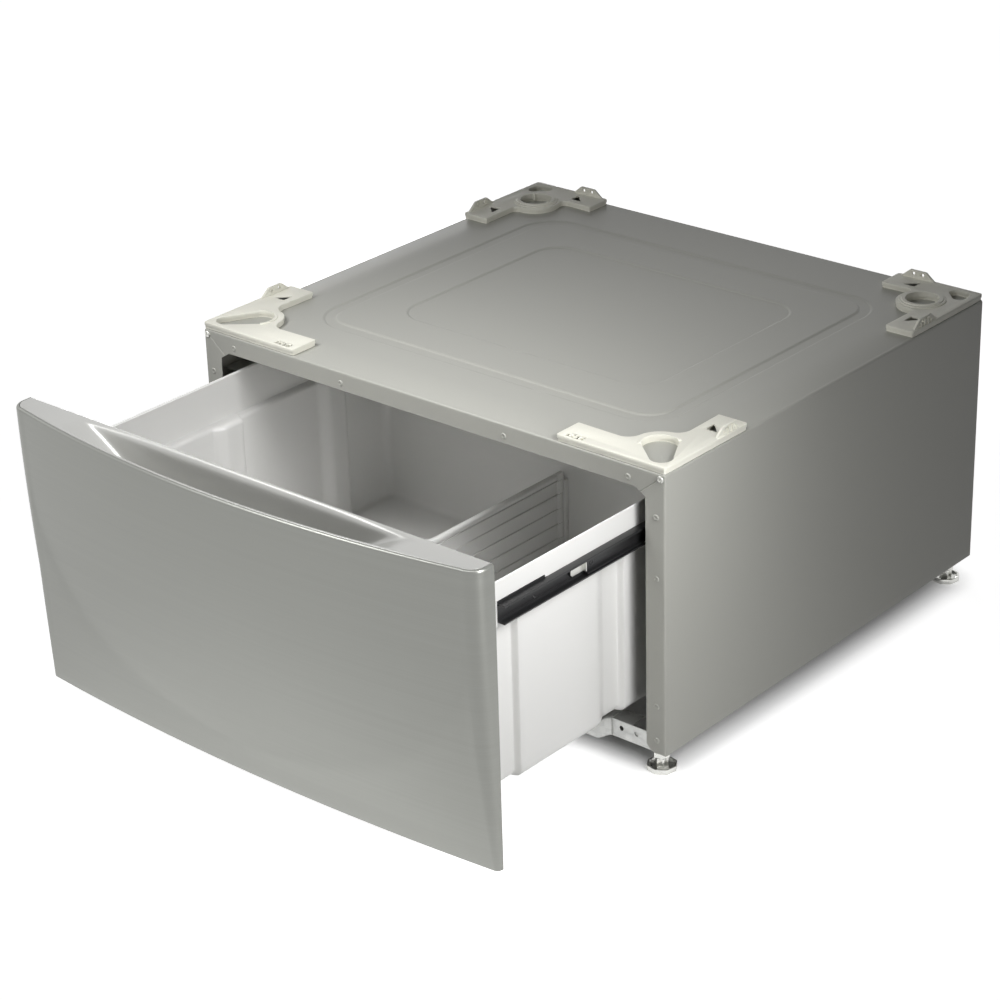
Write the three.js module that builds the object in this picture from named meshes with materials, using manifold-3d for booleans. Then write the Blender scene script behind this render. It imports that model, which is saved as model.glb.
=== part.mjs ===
// Washer pedestal with a pull-out drawer, shown with the drawer partly open.
// Millimetres, +Z up. X runs across the width, the drawer comes out towards -Y.
// Inside the assembly, y = 0 is the front of the steel casing and z = 0 its lower edge.
import * as THREE from "three";
import { mergeVertices } from "three/addons/utils/BufferGeometryUtils.js";
import Module from "manifold-3d";

const wasm = await Module();
wasm.setup();

// ---- Driving dimensions -------------------------------------------------

const SEAT = 0.3; // gap left where one piece rests against another
const PAST = 1; // how far a cutting body runs past the faces that it cuts
const SCREW_SHANK_R = 1.8; // all screws
const SCREW_HOLE_R = SCREW_SHANK_R + 0.3;

// Casing: one folded sheet that makes the top and both sides
const CASE_W = 686;
const CASE_D = 620;
const CASE_H = 340;
const SHEET = 1.0;
const FOLD_R = 3; // outer radius of the long top folds
const SIDE_FLANGE = 26; // width of the front flange beside the opening
const TOP_FLANGE = 23; // height of the front flange above the opening
const GUSSET_X = 14; // cut-off corners of the opening
const GUSSET_Z = 9;
const LIP = 12; // inward lips along the bottom and rear edges
const BEAD_DEPTH = 1.5; // pressed groove and panel in the top
const GROOVE_W = 16;
const GROOVE_R = 48;
const GROOVE_SIDE = 81; // from the casing's side to the groove
const GROOVE_FRONT = 92;
const GROOVE_REAR = 81;
const PANEL_SIDE = 153; // from the casing's side to the sunk centre panel
const PANEL_FRONT = 168;
const PANEL_REAR = 153;
const PANEL_R = 36;

// Back panel and its screws
const BACK_T = 1.0;
const BACK_INSET = 2.2; // keeps the screw heads inside the casing's depth
const BACK_RIB = 3; // depth, height and end distance of the pressed ribs
const BACK_RIB_H = 22;
const BACK_RIB_SIDE = 90;
const BACK_SCREW_R = 4;
const BACK_SCREW_HEAD = 1.6;
const BACK_SCREW_Z = 60; // from the casing's top and lower edges

// Cross rails between the casing's sides
const RAIL_H = 22;
const RAIL_DEPTH = 24;
const RAIL_T = 1.2;
const RAIL_Z = 2;
const RAIL_DIP = 11; // the front rail is pressed down between its ends
const RAIL_DIP_START = 268; // half width where the dip begins
const RAIL_DIP_RUN = 24;
const RAIL_HOLE_R = 3;
const RAIL_HOLES_X = [281, 302];
const RAIL_HOLE_Z = 15;
const RAIL_EAR_GAP = 10; // from a rail's flat ear to the casing's side
const REAR_RAIL_GAP = 5; // from the rear rail to the casing's rear lips

// Corner plates that locate the machine on top
const PLATE_T = 8;
const RING_R = 28;
const RING_HOLE_R = 20;
const RING_RISE = 3;
const RING_COLLAR = 3; // plate left round a ring
const RING_SIDES = 28;
const REAR_PLATE = { endArm: 118, sideArm: 151, armW: 37, ringU: 46, ringV: 60, rise: RING_RISE };
const FRONT_PLATE = { endArm: 147, sideArm: 147, armW: 38, ringU: 43, ringV: 48, rise: 1 };
const PLATE_NECK = 43; // from a ring's centre to where the arms begin
const LOBE_R = 5; // the rear plates' three-cornered hole
const LOBE_INSET = 14;
const LOBE_REACH = 38;
const DROP_R = 13; // small end of the front plates' drop-shaped opening
const DROP_INSET = 20;
const PLATE_SLOT_U = 117; // pair of slots in the front plates
const PLATE_SLOT_V = 4;
const PLATE_SLOT_L = 7;
const PLATE_SLOT_W = 5;
const PLATE_SLOT_PITCH = 10;
const TAB_T = 3; // upright tabs, wider at their foot than at their top
const TAB_FOOT_W = 46;
const TAB_TOP_W = 22;
const TAB_H = 10;
const TAB_INSET = 2;
const TAB_FROM_END = 30; // from an arm's end to the middle of its tab
const EYE_R = 2.1;
const EYE_PITCH = 13;
const EYE_Z = 5.5; // above the plate
const WINDOW_IN = 9; // three-cornered window beside a tab
const WINDOW_OUT = 24;
const WINDOW_L = 20;

// Levelling feet
const FLOOR_GAP = 30; // casing's lower edge above the floor
const FOOT_INSET = 21; // foot axis from the casing's side and front or rear
const STUD_R = 5;
const STUD_TOP = 36;
const PAD_R = 18;
const PAD_H = 7;
const PAD_RIM = 3;
const PAD_FLOOR = 2.5;
const SHANK_FLATS = 13;
const SHANK_H = 8;
const NUT_FLATS = 17;
const NUT_H = 7.5;
const BOSS_R = 8.5;
const BOSS_DROP = 6.5; // the threaded boss reaches this far below the casing
const BOSS_RISE = 4; // and this far above its bracket
const THREAD_GAP = 0.3;
const FOOT_PLATE = 46;
const FOOT_PLATE_T = 2.5;
const FOOT_PLATE_RISE = 34; // the bracket's flanges along the casing's side and end
const FOOT_PLATE_END_RISE = 20;

// Drawer position and travel
const REST_OPEN = 272; // door's back plane ahead of the casing at rest
const CLOSED_GAP = 3; // door's back plane ahead of the casing when shut

// Door
const DOOR_HALF_W = 342;
const DOOR_TOP = 346;
const DOOR_BOTTOM = -6;
const DOOR_END_TOP = 30; // thickness at the door's ends, at its top edge
const DOOR_END_BOTTOM = 8;
const DOOR_BOW_TOP = 32; // how far the front bows out at mid width
const DOOR_BOW_BOTTOM = 16;
const DOOR_LEAN_POWER = 1.6; // how the front leans back towards its lower edge
const DOOR_CORNER_R = 14;
const SKIN = 1.0;
const CAP_T = 4;
const CAP_WALL = 2.5;
const BOTTOM_CAP_H = 10;
const INNER_PANEL_T = 1.5;
const DOOR_SCREW_R = 4; // screws that hold the door to the bin
const DOOR_SCREWS_X = 200;
const DOOR_SCREWS_Z = [110, 240];
const DOOR_SCREW_END = 5; // the shank's end in front of the inner panel's back
const SCOOP_HALF_W = 250; // finger recess at the top of the door
const SCOOP_FLOOR_HALF_W = 190;
const SCOOP_DEPTH = 60;
const SCOOP_REAR_RIM = 7;
const SCOOP_FRONT_LIP = 6;

// Bin
const BAND_HALF_W = 300; // flat upper band that carries the slides
const BAND_TOP = 293.5;
const BAND_H = 52.5;
const BIN_HALF_W = 291;
const BIN_BOTTOM = 41;
const BIN_WALL = 2.5;
const BIN_LENGTH = 522; // front wall to rear wall
const BAND_REAR = 6; // how far the band stands behind the rear wall
const BIN_CORNER_R = 13;
const BAND_CORNER_R = 5;
const BIN_FOOT_R = 10; // rounding between walls and floor
const FLUTE_DEPTH = 8; // pressed-in upright flutes in the side walls
const FLUTE_W = 47;
const FLUTE_RUN = 20; // soft side of a flute
const FLUTE_STEP = 3; // sharp side of a flute
const FLUTE_PITCH = 176;
const FLUTE_FIRST = 45; // from the bin's front to its first flute
const FLUTES = 3;

// Divider and its guides
const DIVIDER_T = 3;
const DIVIDER_EDGE_T = 6;
const DIVIDER_EDGE_W = 12;
const DIVIDER_BEAD_T = 9;
const DIVIDER_BEAD_H = 7;
const DIVIDER_LOW = 159; // top of the low rear part
const DIVIDER_HIGH = 235; // top of the high front part
const DIVIDER_RISE_START = 225; // from the rear end, where the top starts to rise
const DIVIDER_RISE_RUN = 150;
const DIVIDER_END_GAP = 1.2;
const DIVIDER_RIB = 1.2;
const DIVIDER_RIBS_Z = [73, 92.5, 112, 131.5, 149];
const GUIDE_T = 3;
const GUIDE_WEB = 1.2; // a guide channel's back, against the bin's wall
const GUIDE_GAP = 1.2; // between the divider's edge and a guide
const GUIDE_DEPTH = 7;
const GUIDE_REAR_TOP = 150;
const GUIDE_FRONT_TOP = 226;

// Three-member ball slides
const SLIDE_L = 450;
const SLIDE_FRONT = 47; // front end of the fixed member behind the casing's front
const SLIDE_Z = 257.5;
const SLIDE_HALF_H = 10.7;
const SLIDE_T = 0.9;
const SLIDE_DEPTH = 10.2; // depth of the drawer member
const SLIDE_TOTAL = 12.4; // drawer member's back to fixed member's back
const SLIDE_HOOK = 2.2; // inward hook on the drawer member's lips
const SLIDE_TAIL = 75; // front stretch where the drawer member stands taller
const SLIDE_TAIL_RISE = 3;
const MIDDLE_HALF_H = 7.4;
const MIDDLE_BACK = 2.7; // middle member's web from the drawer member's back
const MIDDLE_DEPTH = 6;
const FIXED_HALF_H = 4.1;
const FIXED_DEPTH = 6.2;
const CAGE_L = 120;
const CAGE_T = 0.5;
const CAGE_GAP = 0.4; // between a cage's web and the member behind it
const CAGE_EDGE = 1.6; // cage beyond its row of balls
const CAGE_CLOSED = 164; // cage's front end behind the fixed member's front, shut
const BALL_GAP = 0.4; // between a row of balls and the members on both sides
const BALL_PITCH = 15;
const CLIP_L = 22;
const CLIP_H = 12;
const CLIP_RISE = 2; // clip's middle above the slide's
const CLIP_T = 1.2;
const CLIP_DEPTH = 5;
const CLIP_CUT = 5; // cut-off corners of its front end
const SCREW_R = 2.8;
const SCREW_HEAD = 1.2;
const SCREWS_FROM_FRONT = [17, 41]; // slide screws behind the member's front end
const SCREW_RISE = 3; // slide screws above the slide's middle

// Brackets that bridge from the casing's sides to the slides
const BRACKET_T = 1.2;
const BRACKET_HALF_H = 24;
const BRACKET_FRONT = 28;
const BRACKET_L = 480;

// Corner screws in the mitred front flange
const MITRE_SCREW_R = 3.6;
const MITRE_SCREW_HEAD = 1.8;
const MITRE_SCREW_INSET = 6;
const MITRE_SCREW_END = 2; // the shank's end behind the flange

// ---- Values that follow from them ---------------------------------------

const half = CASE_W / 2;
const doorBack = -REST_OPEN;
const doorFront = doorBack - DOOR_END_TOP - DOOR_BOW_TOP;
const originY = (doorFront + CASE_D) / 2;
const binFront = doorBack + SEAT;
const binRear = binFront + BIN_LENGTH;
const bandBottom = BAND_TOP - BAND_H;
const floorTop = BIN_BOTTOM + BIN_WALL;
const dividerEnd = SEAT + GUIDE_WEB + DIVIDER_END_GAP; // from the bin's end wall
const rearLipFront = CASE_D - BACK_INSET - BACK_T - SEAT - SHEET; // y of the casing's rear lips
const railReach = half - SHEET - FOOT_PLATE - 2 * SEAT; // half length of a rail's channel
const slideBack = BAND_HALF_W + SEAT; // x of the drawer member's back
const slideFace = slideBack + SLIDE_TOTAL; // x of the fixed member's back
const shutTravel = REST_OPEN - CLOSED_GAP;

// ---- Materials ----------------------------------------------------------

const material = (color, roughness, metalness) => {
  return new THREE.MeshStandardMaterial({ color, roughness, metalness });
};
const MATERIALS = {
  casing: material(0xb4b5b0, 0.35, 0.6),
  stainless: material(0xa6a7a2, 0.3, 0.9),
  trim: material(0xc9c9c6, 0.35, 0.5),
  bin: material(0xe8e7e5, 0.4, 0),
  plate: material(0xe8e7de, 0.5, 0),
  slide: material(0x1c1c1d, 0.45, 0.5),
  zinc: material(0xc4c4c0, 0.3, 0.9),
  steel: material(0xb9bab6, 0.4, 0.8),
};

// ---- Solids -------------------------------------------------------------

// A closed geometry as a solid that can be joined and cut.
function solid(geometry) {
  const g = geometry.index ? geometry.toNonIndexed() : geometry.clone();
  g.deleteAttribute("normal");
  g.deleteAttribute("uv");
  const merged = mergeVertices(g, 1e-4);
  return new wasm.Manifold(
    new wasm.Mesh({
      numProp: 3,
      vertProperties: new Float32Array(merged.attributes.position.array),
      triVerts: new Uint32Array(merged.index.array),
    }),
  );
}

const join = (first, ...rest) => rest.reduce((all, s) => all.add(s), first);
const cut = (first, ...rest) => rest.reduce((all, s) => all.subtract(s), first);

function geometryOf(body) {
  const m = body.getMesh();
  const g = new THREE.BufferGeometry();
  g.setAttribute("position", new THREE.BufferAttribute(new Float32Array(m.vertProperties), 3));
  g.setIndex(new THREE.BufferAttribute(new Uint32Array(m.triVerts), 1));
  g.computeVertexNormals();
  return g;
}

function box(x0, x1, y0, y1, z0, z1) {
  const g = new THREE.BoxGeometry(Math.abs(x1 - x0), Math.abs(y1 - y0), Math.abs(z1 - z0));
  return solid(g.translate((x0 + x1) / 2, (y0 + y1) / 2, (z0 + z1) / 2));
}

// A prism on an upright axis from z0 to z1; turn sets where its first corner is.
function post(x, y, z0, z1, r, sides = 24, turn = 0) {
  const g = new THREE.CylinderGeometry(r, r, z1 - z0, sides).rotateX(Math.PI / 2).rotateZ(turn);
  return solid(g.translate(x, y, (z0 + z1) / 2));
}

// A round bar along X or along Y.
function barX(x0, x1, y, z, r, sides = 16) {
  const g = new THREE.CylinderGeometry(r, r, Math.abs(x1 - x0), sides).rotateZ(Math.PI / 2);
  return solid(g.translate((x0 + x1) / 2, y, z));
}
function barY(x, y0, y1, z, r, sides = 16) {
  const g = new THREE.CylinderGeometry(r, r, Math.abs(y1 - y0), sides);
  return solid(g.translate(x, (y0 + y1) / 2, z));
}

// A flat outline raised from z0 to z1.
function raise(shape, z0, z1, curveSegments = 6) {
  const g = new THREE.ExtrudeGeometry(shape, { depth: z1 - z0, bevelEnabled: false, curveSegments });
  return solid(g.translate(0, 0, z0));
}

// An outline in x and z, carried along Y from y0 to y1.
function alongY(shape, y0, y1, curveSegments = 6) {
  const g = new THREE.ExtrudeGeometry(shape, { depth: y1 - y0, bevelEnabled: false, curveSegments });
  return solid(g.rotateX(Math.PI / 2).translate(0, y1, 0));
}

// An outline in y and z, carried along X from x0 to x1.
function alongX(shape, x0, x1, curveSegments = 6) {
  const g = new THREE.ExtrudeGeometry(shape, { depth: x1 - x0, bevelEnabled: false, curveSegments });
  const turn = new THREE.Matrix4().makeBasis(
    new THREE.Vector3(0, 1, 0),
    new THREE.Vector3(0, 0, 1),
    new THREE.Vector3(1, 0, 0),
  );
  return solid(g.applyMatrix4(turn).translate(x0, 0, 0));
}

const outline = (points) => new THREE.Shape(points.map(([x, y]) => new THREE.Vector2(x, y)));

function roundedRect(x0, x1, y0, y1, r) {
  const s = new THREE.Shape();
  s.absarc(x1 - r, y0 + r, r, -Math.PI / 2, 0);
  s.absarc(x1 - r, y1 - r, r, 0, Math.PI / 2);
  s.absarc(x0 + r, y1 - r, r, Math.PI / 2, Math.PI);
  s.absarc(x0 + r, y0 + r, r, Math.PI, 1.5 * Math.PI);
  s.closePath();
  return s;
}

// n + 1 values from one end to the other.
const levels = (from, to, n) => Array.from({ length: n + 1 }, (_, i) => from + ((to - from) * i) / n);

// A closed body through sections that all have as many points; the ends are flat.
function loft(sections) {
  const n = sections[0].length;
  const positions = sections.flat(2);
  const index = [];
  for (let k = 0; k + 1 < sections.length; k++) {
    for (let i = 0; i < n; i++) {
      const a = k * n + i;
      const b = k * n + ((i + 1) % n);
      index.push(a, b, b + n, a, b + n, a + n);
    }
  }
  const flat = flatten(sections[0]);
  const caps = THREE.ShapeUtils.triangulateShape(flat, []);
  const top = (sections.length - 1) * n;
  const clockwise = THREE.ShapeUtils.isClockWise(flat);
  for (const [a, b, c] of caps) {
    const flip = THREE.ShapeUtils.isClockWise([flat[a], flat[b], flat[c]]) !== clockwise;
    const [p, q] = flip ? [c, b] : [b, c];
    index.push(a, q, p, top + a, top + p, top + q);
  }
  const g = new THREE.BufferGeometry();
  g.setAttribute("position", new THREE.BufferAttribute(new Float32Array(positions), 3));
  g.setIndex(index);
  const made = solid(g);
  if (made.volume() >= 0) return made;
  const turned = [];
  for (let i = 0; i < index.length; i += 3) turned.push(index[i], index[i + 2], index[i + 1]);
  g.setIndex(turned);
  return solid(g);
}

// A section's points in its own plane: the plane is upright where all x are equal.
function flatten(section) {
  const upright = section.every((p) => Math.abs(p[0] - section[0][0]) < 1e-6);
  return section.map(([x, y, z]) => (upright ? new THREE.Vector2(y, z) : new THREE.Vector2(x, y)));
}

const assembly = new THREE.Group();
assembly.position.set(0, -originY, FLOOR_GAP);

function add(name, body, material) {
  const mesh = new THREE.Mesh(geometryOf(body), material);
  mesh.name = name;
  assembly.add(mesh);
}

const SIDES = [
  ["left", -1],
  ["right", 1],
];

// The same body on the other side of the middle plane.
const onSide = (body, side) => (side > 0 ? body : body.mirror([1, 0, 0]));

// ---- Casing -------------------------------------------------------------

function casing() {
  // top and sides, as an arch carried along the depth
  const arch = (x, z0, z, r) => {
    const s = new THREE.Shape();
    s.moveTo(-x, z0);
    s.lineTo(x, z0);
    s.absarc(x - r, z - r, r, 0, Math.PI / 2);
    s.absarc(-x + r, z - r, r, Math.PI / 2, Math.PI);
    s.closePath();
    return s;
  };
  const inner = arch(half - SHEET, -PAST, CASE_H - SHEET, FOLD_R - SHEET);
  const shell = cut(
    alongY(arch(half, 0, CASE_H, FOLD_R), 0, CASE_D, 4),
    alongY(inner, SHEET, CASE_D + PAST, 4),
    frontOpening(),
  );
  const y0 = rearLipFront;
  const y1 = y0 + SHEET;
  const lips = SIDES.map(([, s]) =>
    join(
      box(s * (half - SHEET / 2), s * (half - LIP), SHEET / 2, CASE_D, 0, SHEET),
      box(s * (half - SHEET / 2), s * (half - LIP), y0, y1, SHEET / 2, CASE_H - SHEET / 2),
    ),
  );
  const top = box(-half + SHEET, half - SHEET, y0, y1, CASE_H - LIP, CASE_H - SHEET / 2);
  // pressed groove and sunk panel: the sheet goes down with them
  const groove = (grow) => {
    const ring = roundedRect(
      -half + GROOVE_SIDE - grow,
      half - GROOVE_SIDE + grow,
      GROOVE_FRONT - grow,
      CASE_D - GROOVE_REAR + grow,
      GROOVE_R + grow,
    );
    const w = GROOVE_W + grow;
    ring.holes.push(
      roundedRect(
        -half + GROOVE_SIDE + w,
        half - GROOVE_SIDE - w,
        GROOVE_FRONT + w,
        CASE_D - GROOVE_REAR - w,
        GROOVE_R - w,
      ),
    );
    return ring;
  };
  const panel = (grow) =>
    roundedRect(
      -half + PANEL_SIDE - grow,
      half - PANEL_SIDE + grow,
      PANEL_FRONT - grow,
      CASE_D - PANEL_REAR + grow,
      PANEL_R + grow,
    );
  const under = CASE_H - SHEET - BEAD_DEPTH;
  const pressed = join(
    raise(groove(SHEET), under, CASE_H - SHEET / 2),
    raise(panel(SHEET), under, CASE_H - SHEET / 2),
  );
  return cut(
    join(shell, ...lips, top, pressed),
    raise(groove(0), CASE_H - BEAD_DEPTH, CASE_H + PAST),
    raise(panel(0), CASE_H - BEAD_DEPTH, CASE_H + PAST),
    ...SIDES.map(([, s]) => mitreScrewHole(s)),
  );
}

// The way through the front flange, with its two cut-off upper corners.
function frontOpening() {
  const x = half - SIDE_FLANGE;
  const z = CASE_H - TOP_FLANGE;
  const shape = outline([
    [-x, -PAST],
    [x, -PAST],
    [x, z - GUSSET_Z],
    [x - GUSSET_X, z],
    [-x + GUSSET_X, z],
    [-x, z - GUSSET_Z],
  ]);
  return alongY(shape, -PAST, SHEET + PAST);
}

const mitreScrewAt = (s) => [s * (half - MITRE_SCREW_INSET), CASE_H - MITRE_SCREW_INSET];

function mitreScrewHole(s) {
  const [x, z] = mitreScrewAt(s);
  return barY(x, -PAST, SHEET + PAST, z, SCREW_HOLE_R);
}

function mitreScrew(s) {
  const [x, z] = mitreScrewAt(s);
  return join(
    barY(x, -SEAT - MITRE_SCREW_HEAD, -SEAT, z, MITRE_SCREW_R),
    barY(x, -SEAT - MITRE_SCREW_HEAD / 2, SHEET + MITRE_SCREW_END, z, SCREW_SHANK_R),
  );
}

const backScrewsAt = [BACK_SCREW_Z, CASE_H - BACK_SCREW_Z].flatMap((z) => [
  [-half + LIP / 2, z],
  [half - LIP / 2, z],
]);

function backPanel() {
  const edge = half - SHEET - SEAT;
  const y1 = CASE_D - BACK_INSET;
  const y0 = y1 - BACK_T;
  const z1 = CASE_H - SHEET - SEAT;
  const sheet = alongY(
    outline([
      [-edge, SHEET + SEAT],
      [edge, SHEET + SEAT],
      [edge, z1 - FOLD_R],
      [edge - FOLD_R, z1],
      [-edge + FOLD_R, z1],
      [-edge, z1 - FOLD_R],
    ]),
    y0,
    y1,
  );
  // two pressed ribs stiffen the sheet
  const bar = (z, inset, from, to) => {
    const x = half - BACK_RIB_SIDE - inset;
    const h = BACK_RIB_H / 2 - inset;
    return box(-x, x, from, to, z - h, z + h);
  };
  const ribHeights = [CASE_H / 3, (2 * CASE_H) / 3];
  const ribs = ribHeights.map((z) => bar(z, 0, y0 - BACK_RIB, y0 + BACK_T / 2));
  const hollows = ribHeights.map((z) => bar(z, BACK_T, y0 - BACK_RIB + BACK_T, y1 + PAST));
  const holes = backScrewsAt.map(([x, z]) => barY(x, y0 - PAST, y1 + PAST, z, SCREW_HOLE_R));
  return cut(join(sheet, ...ribs), ...hollows, ...holes);
}

function backScrew([x, z]) {
  const face = CASE_D - BACK_INSET + SEAT;
  return join(
    barY(x, face, face + BACK_SCREW_HEAD, z, BACK_SCREW_R, 6),
    barY(x, face - BACK_T - SEAT, face + BACK_SCREW_HEAD / 2, z, SCREW_SHANK_R),
  );
}

// A channel along X between x = -reach and x = reach, open towards its own back.
// drop(x) is how far the section is pressed down there.
function channel(reach, yFace, side, drop, stations) {
  const y = (d) => yFace + side * d;
  const section = (x) => {
    const z = RAIL_Z - drop(x);
    return [
      [x, y(0), z],
      [x, y(RAIL_DEPTH), z],
      [x, y(RAIL_DEPTH), z + RAIL_T],
      [x, y(RAIL_T), z + RAIL_T],
      [x, y(RAIL_T), z + RAIL_H - RAIL_T],
      [x, y(RAIL_DEPTH), z + RAIL_H - RAIL_T],
      [x, y(RAIL_DEPTH), z + RAIL_H],
      [x, y(0), z + RAIL_H],
    ];
  };
  return loft([-reach, ...stations.map((x) => -x).reverse(), ...stations, reach].map(section));
}

function frontRail() {
  const y0 = SHEET + SEAT;
  const drop = (x) => RAIL_DIP * THREE.MathUtils.smoothstep(RAIL_DIP_START - Math.abs(x), 0, RAIL_DIP_RUN);
  const stations = levels(RAIL_DIP_START - RAIL_DIP_RUN, RAIL_DIP_START, 6);
  const body = channel(railReach, y0, 1, drop, stations);
  // flat ears reach behind the casing's side flanges
  const ears = SIDES.map(([, s]) =>
    box(s * (railReach - PAST), s * (half - SHEET - RAIL_EAR_GAP), y0, y0 + RAIL_T, RAIL_Z, RAIL_Z + RAIL_H),
  );
  const holes = SIDES.flatMap(([, s]) =>
    RAIL_HOLES_X.map((x) => barY(s * x, y0 - PAST, y0 + RAIL_T + PAST, RAIL_HOLE_Z, RAIL_HOLE_R)),
  );
  return cut(join(body, ...ears), ...holes);
}

function rearRail() {
  return channel(railReach, rearLipFront - REAR_RAIL_GAP, -1, () => 0, []);
}

// ---- Corner plates ------------------------------------------------------

// Positions on a plate are distances in from the casing's side (u) and end (v).
function cornerPlate(s, rear) {
  const spec = rear ? REAR_PLATE : FRONT_PLATE;
  const put = (u, v) => [s * (half - u), rear ? CASE_D - v : v];
  const z0 = CASE_H + SEAT;
  const z1 = z0 + PLATE_T;
  const above = z1 + RING_RISE + PAST;
  const armW = spec.armW;
  const edge = outline([
    put(0, 0),
    put(spec.endArm, 0),
    put(spec.endArm, armW),
    put(spec.ringU + PLATE_NECK, armW),
    ...plateCurve(put, spec),
    put(armW, spec.ringV + PLATE_NECK),
    put(armW, spec.sideArm),
    put(0, spec.sideArm),
  ]);
  const [cx, cy] = put(spec.ringU, spec.ringV);
  const blank = join(
    raise(edge, z0, z1),
    post(cx, cy, z0, z1, RING_R + RING_COLLAR, RING_SIDES),
    post(cx, cy, z0, z1 + spec.rise, RING_R, RING_SIDES),
  );
  const holes = [
    post(cx, cy, z0 - PAST, above, RING_HOLE_R, RING_SIDES),
    raise(rear ? cornerLobe(put) : cornerDrop(put, spec), z0 - PAST, above),
    ...(rear ? [] : [0, 1].map((i) => plateSlot(put, i, z0 - PAST, above))),
  ];
  const ends = rear ? ["side", "end"] : ["side"];
  const tabs = ends.map((arm) => plateTab(put, spec, arm, z0, z1));
  const body = join(cut(blank, ...holes, ...tabs.map((t) => t.window)), ...tabs.map((t) => t.body));
  return cut(body, ...tabs.flatMap((t) => t.eyes));
}

// The plate's inner edge between its arms, which passes outside the ring.
function plateCurve(put, spec) {
  const away = RING_R + RING_COLLAR;
  return [15, 45, 75].map((degrees) => {
    const a = THREE.MathUtils.degToRad(degrees);
    return put(spec.ringU + away * Math.cos(a), spec.ringV + away * Math.sin(a) * 0.8);
  });
}

// Points on an arc, with angles in degrees.
function plateArc(put, u, v, r, from, to) {
  return levels(from, to, 3).map((degrees) => {
    const a = THREE.MathUtils.degToRad(degrees);
    return put(u + r * Math.cos(a), v + r * Math.sin(a));
  });
}

// The rounded three-cornered hole between a rear ring and the casing's corner.
function cornerLobe(put) {
  const arc = (u, v, from, to) => plateArc(put, u, v, LOBE_R, from, to);
  const near = LOBE_INSET;
  const far = LOBE_REACH - LOBE_R;
  return outline([...arc(near, near, 180, 270), ...arc(far, near, 270, 405), ...arc(near, far, 45, 180)]);
}

// The front ring's opening narrows towards the casing's corner, as a drop does.
function cornerDrop(put, spec) {
  const { ringU, ringV } = spec;
  const small = plateArc(put, DROP_INSET, DROP_INSET, DROP_R, 135, 315);
  return outline([...small, ...plateArc(put, ringU, ringV, RING_HOLE_R, -45, 135)]);
}

function plateSlot(put, i, z0, z1) {
  const u = PLATE_SLOT_U + i * PLATE_SLOT_PITCH;
  const [xa, ya] = put(u, PLATE_SLOT_V);
  const [xb, yb] = put(u + PLATE_SLOT_L, PLATE_SLOT_V + PLATE_SLOT_W);
  return box(xa, xb, ya, yb, z0, z1);
}

// The upright tab with two eyes near an arm's end, and the window beside it.
function plateTab(put, spec, arm, z0, z1) {
  const onSideArm = arm === "side";
  const on = onSideArm ? put : (u, v) => put(v, u);
  const middle = (onSideArm ? spec.sideArm : spec.endArm) - TAB_FROM_END;
  const corners = [
    on(WINDOW_IN, middle - WINDOW_L / 4),
    on(WINDOW_OUT, middle + WINDOW_L / 2),
    on(WINDOW_IN, middle + WINDOW_L / 2),
  ];
  const window = raise(outline(corners), z0 - PAST, z1 + PAST);
  const along = onSideArm ? 1 : 0; // which of x and y runs along the arm
  const centre = on(TAB_INSET, middle)[along];
  const faces = [on(TAB_INSET, middle)[1 - along], on(TAB_INSET + TAB_T, middle)[1 - along]];
  const [from, to] = [Math.min(...faces), Math.max(...faces)];
  const shape = outline([
    [centre - TAB_FOOT_W / 2, z1 - PLATE_T / 2],
    [centre + TAB_FOOT_W / 2, z1 - PLATE_T / 2],
    [centre + TAB_FOOT_W / 2, z1],
    [centre + TAB_TOP_W / 2, z1 + TAB_H],
    [centre - TAB_TOP_W / 2, z1 + TAB_H],
    [centre - TAB_FOOT_W / 2, z1],
  ]);
  const body = onSideArm ? alongX(shape, from, to) : alongY(shape, from, to);
  const eyes = [-EYE_PITCH / 2, EYE_PITCH / 2].map((d) =>
    onSideArm
      ? barX(from - PAST, to + PAST, centre + d, z1 + EYE_Z, EYE_R, 12)
      : barY(centre + d, from - PAST, to + PAST, z1 + EYE_Z, EYE_R, 12),
  );
  return { window, body, eyes };
}

// ---- Feet ---------------------------------------------------------------

const footAt = (s, rear) => [s * (half - FOOT_INSET), rear ? CASE_D - FOOT_INSET : FOOT_INSET];
const acrossFlats = (flats) => flats / 2 / Math.cos(Math.PI / 6);

function footBracket(s, rear) {
  const [x, y] = footAt(s, rear);
  const outer = s * (half - SHEET - SEAT);
  const inner = s * (half - SHEET - SEAT - FOOT_PLATE);
  const t = FOOT_PLATE_T;
  const z0 = SHEET + SEAT;
  const end = rear ? rearLipFront - SEAT : SHEET + RAIL_T + 2 * SEAT;
  const far = rear ? end - FOOT_PLATE : end + FOOT_PLATE;
  const wall = rear ? end - t : end + t;
  const boss = post(x, y, -BOSS_DROP, z0 + t + BOSS_RISE, BOSS_R);
  const body = join(
    box(outer, inner, end, far, z0, z0 + t),
    box(outer, outer - s * t, end, far, z0, z0 + FOOT_PLATE_RISE),
    box(outer, inner, end, wall, z0, z0 + FOOT_PLATE_END_RISE),
    boss,
  );
  return cut(body, post(x, y, -FLOOR_GAP, STUD_TOP + PAST, STUD_R + THREAD_GAP));
}

function foot(s, rear) {
  const [x, y] = footAt(s, rear);
  const bottom = -FLOOR_GAP;
  const octagon = Math.PI / 8;
  const dish = cut(
    post(x, y, bottom, bottom + PAD_H, PAD_R, 8, octagon),
    post(x, y, bottom + PAD_FLOOR, bottom + PAD_H + PAST, PAD_R - PAD_RIM, 8, octagon),
  );
  const shank = post(x, y, bottom + PAD_FLOOR / 2, bottom + PAD_H + SHANK_H, acrossFlats(SHANK_FLATS), 6);
  return join(dish, shank, post(x, y, bottom + PAD_H, STUD_TOP, STUD_R));
}

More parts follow.
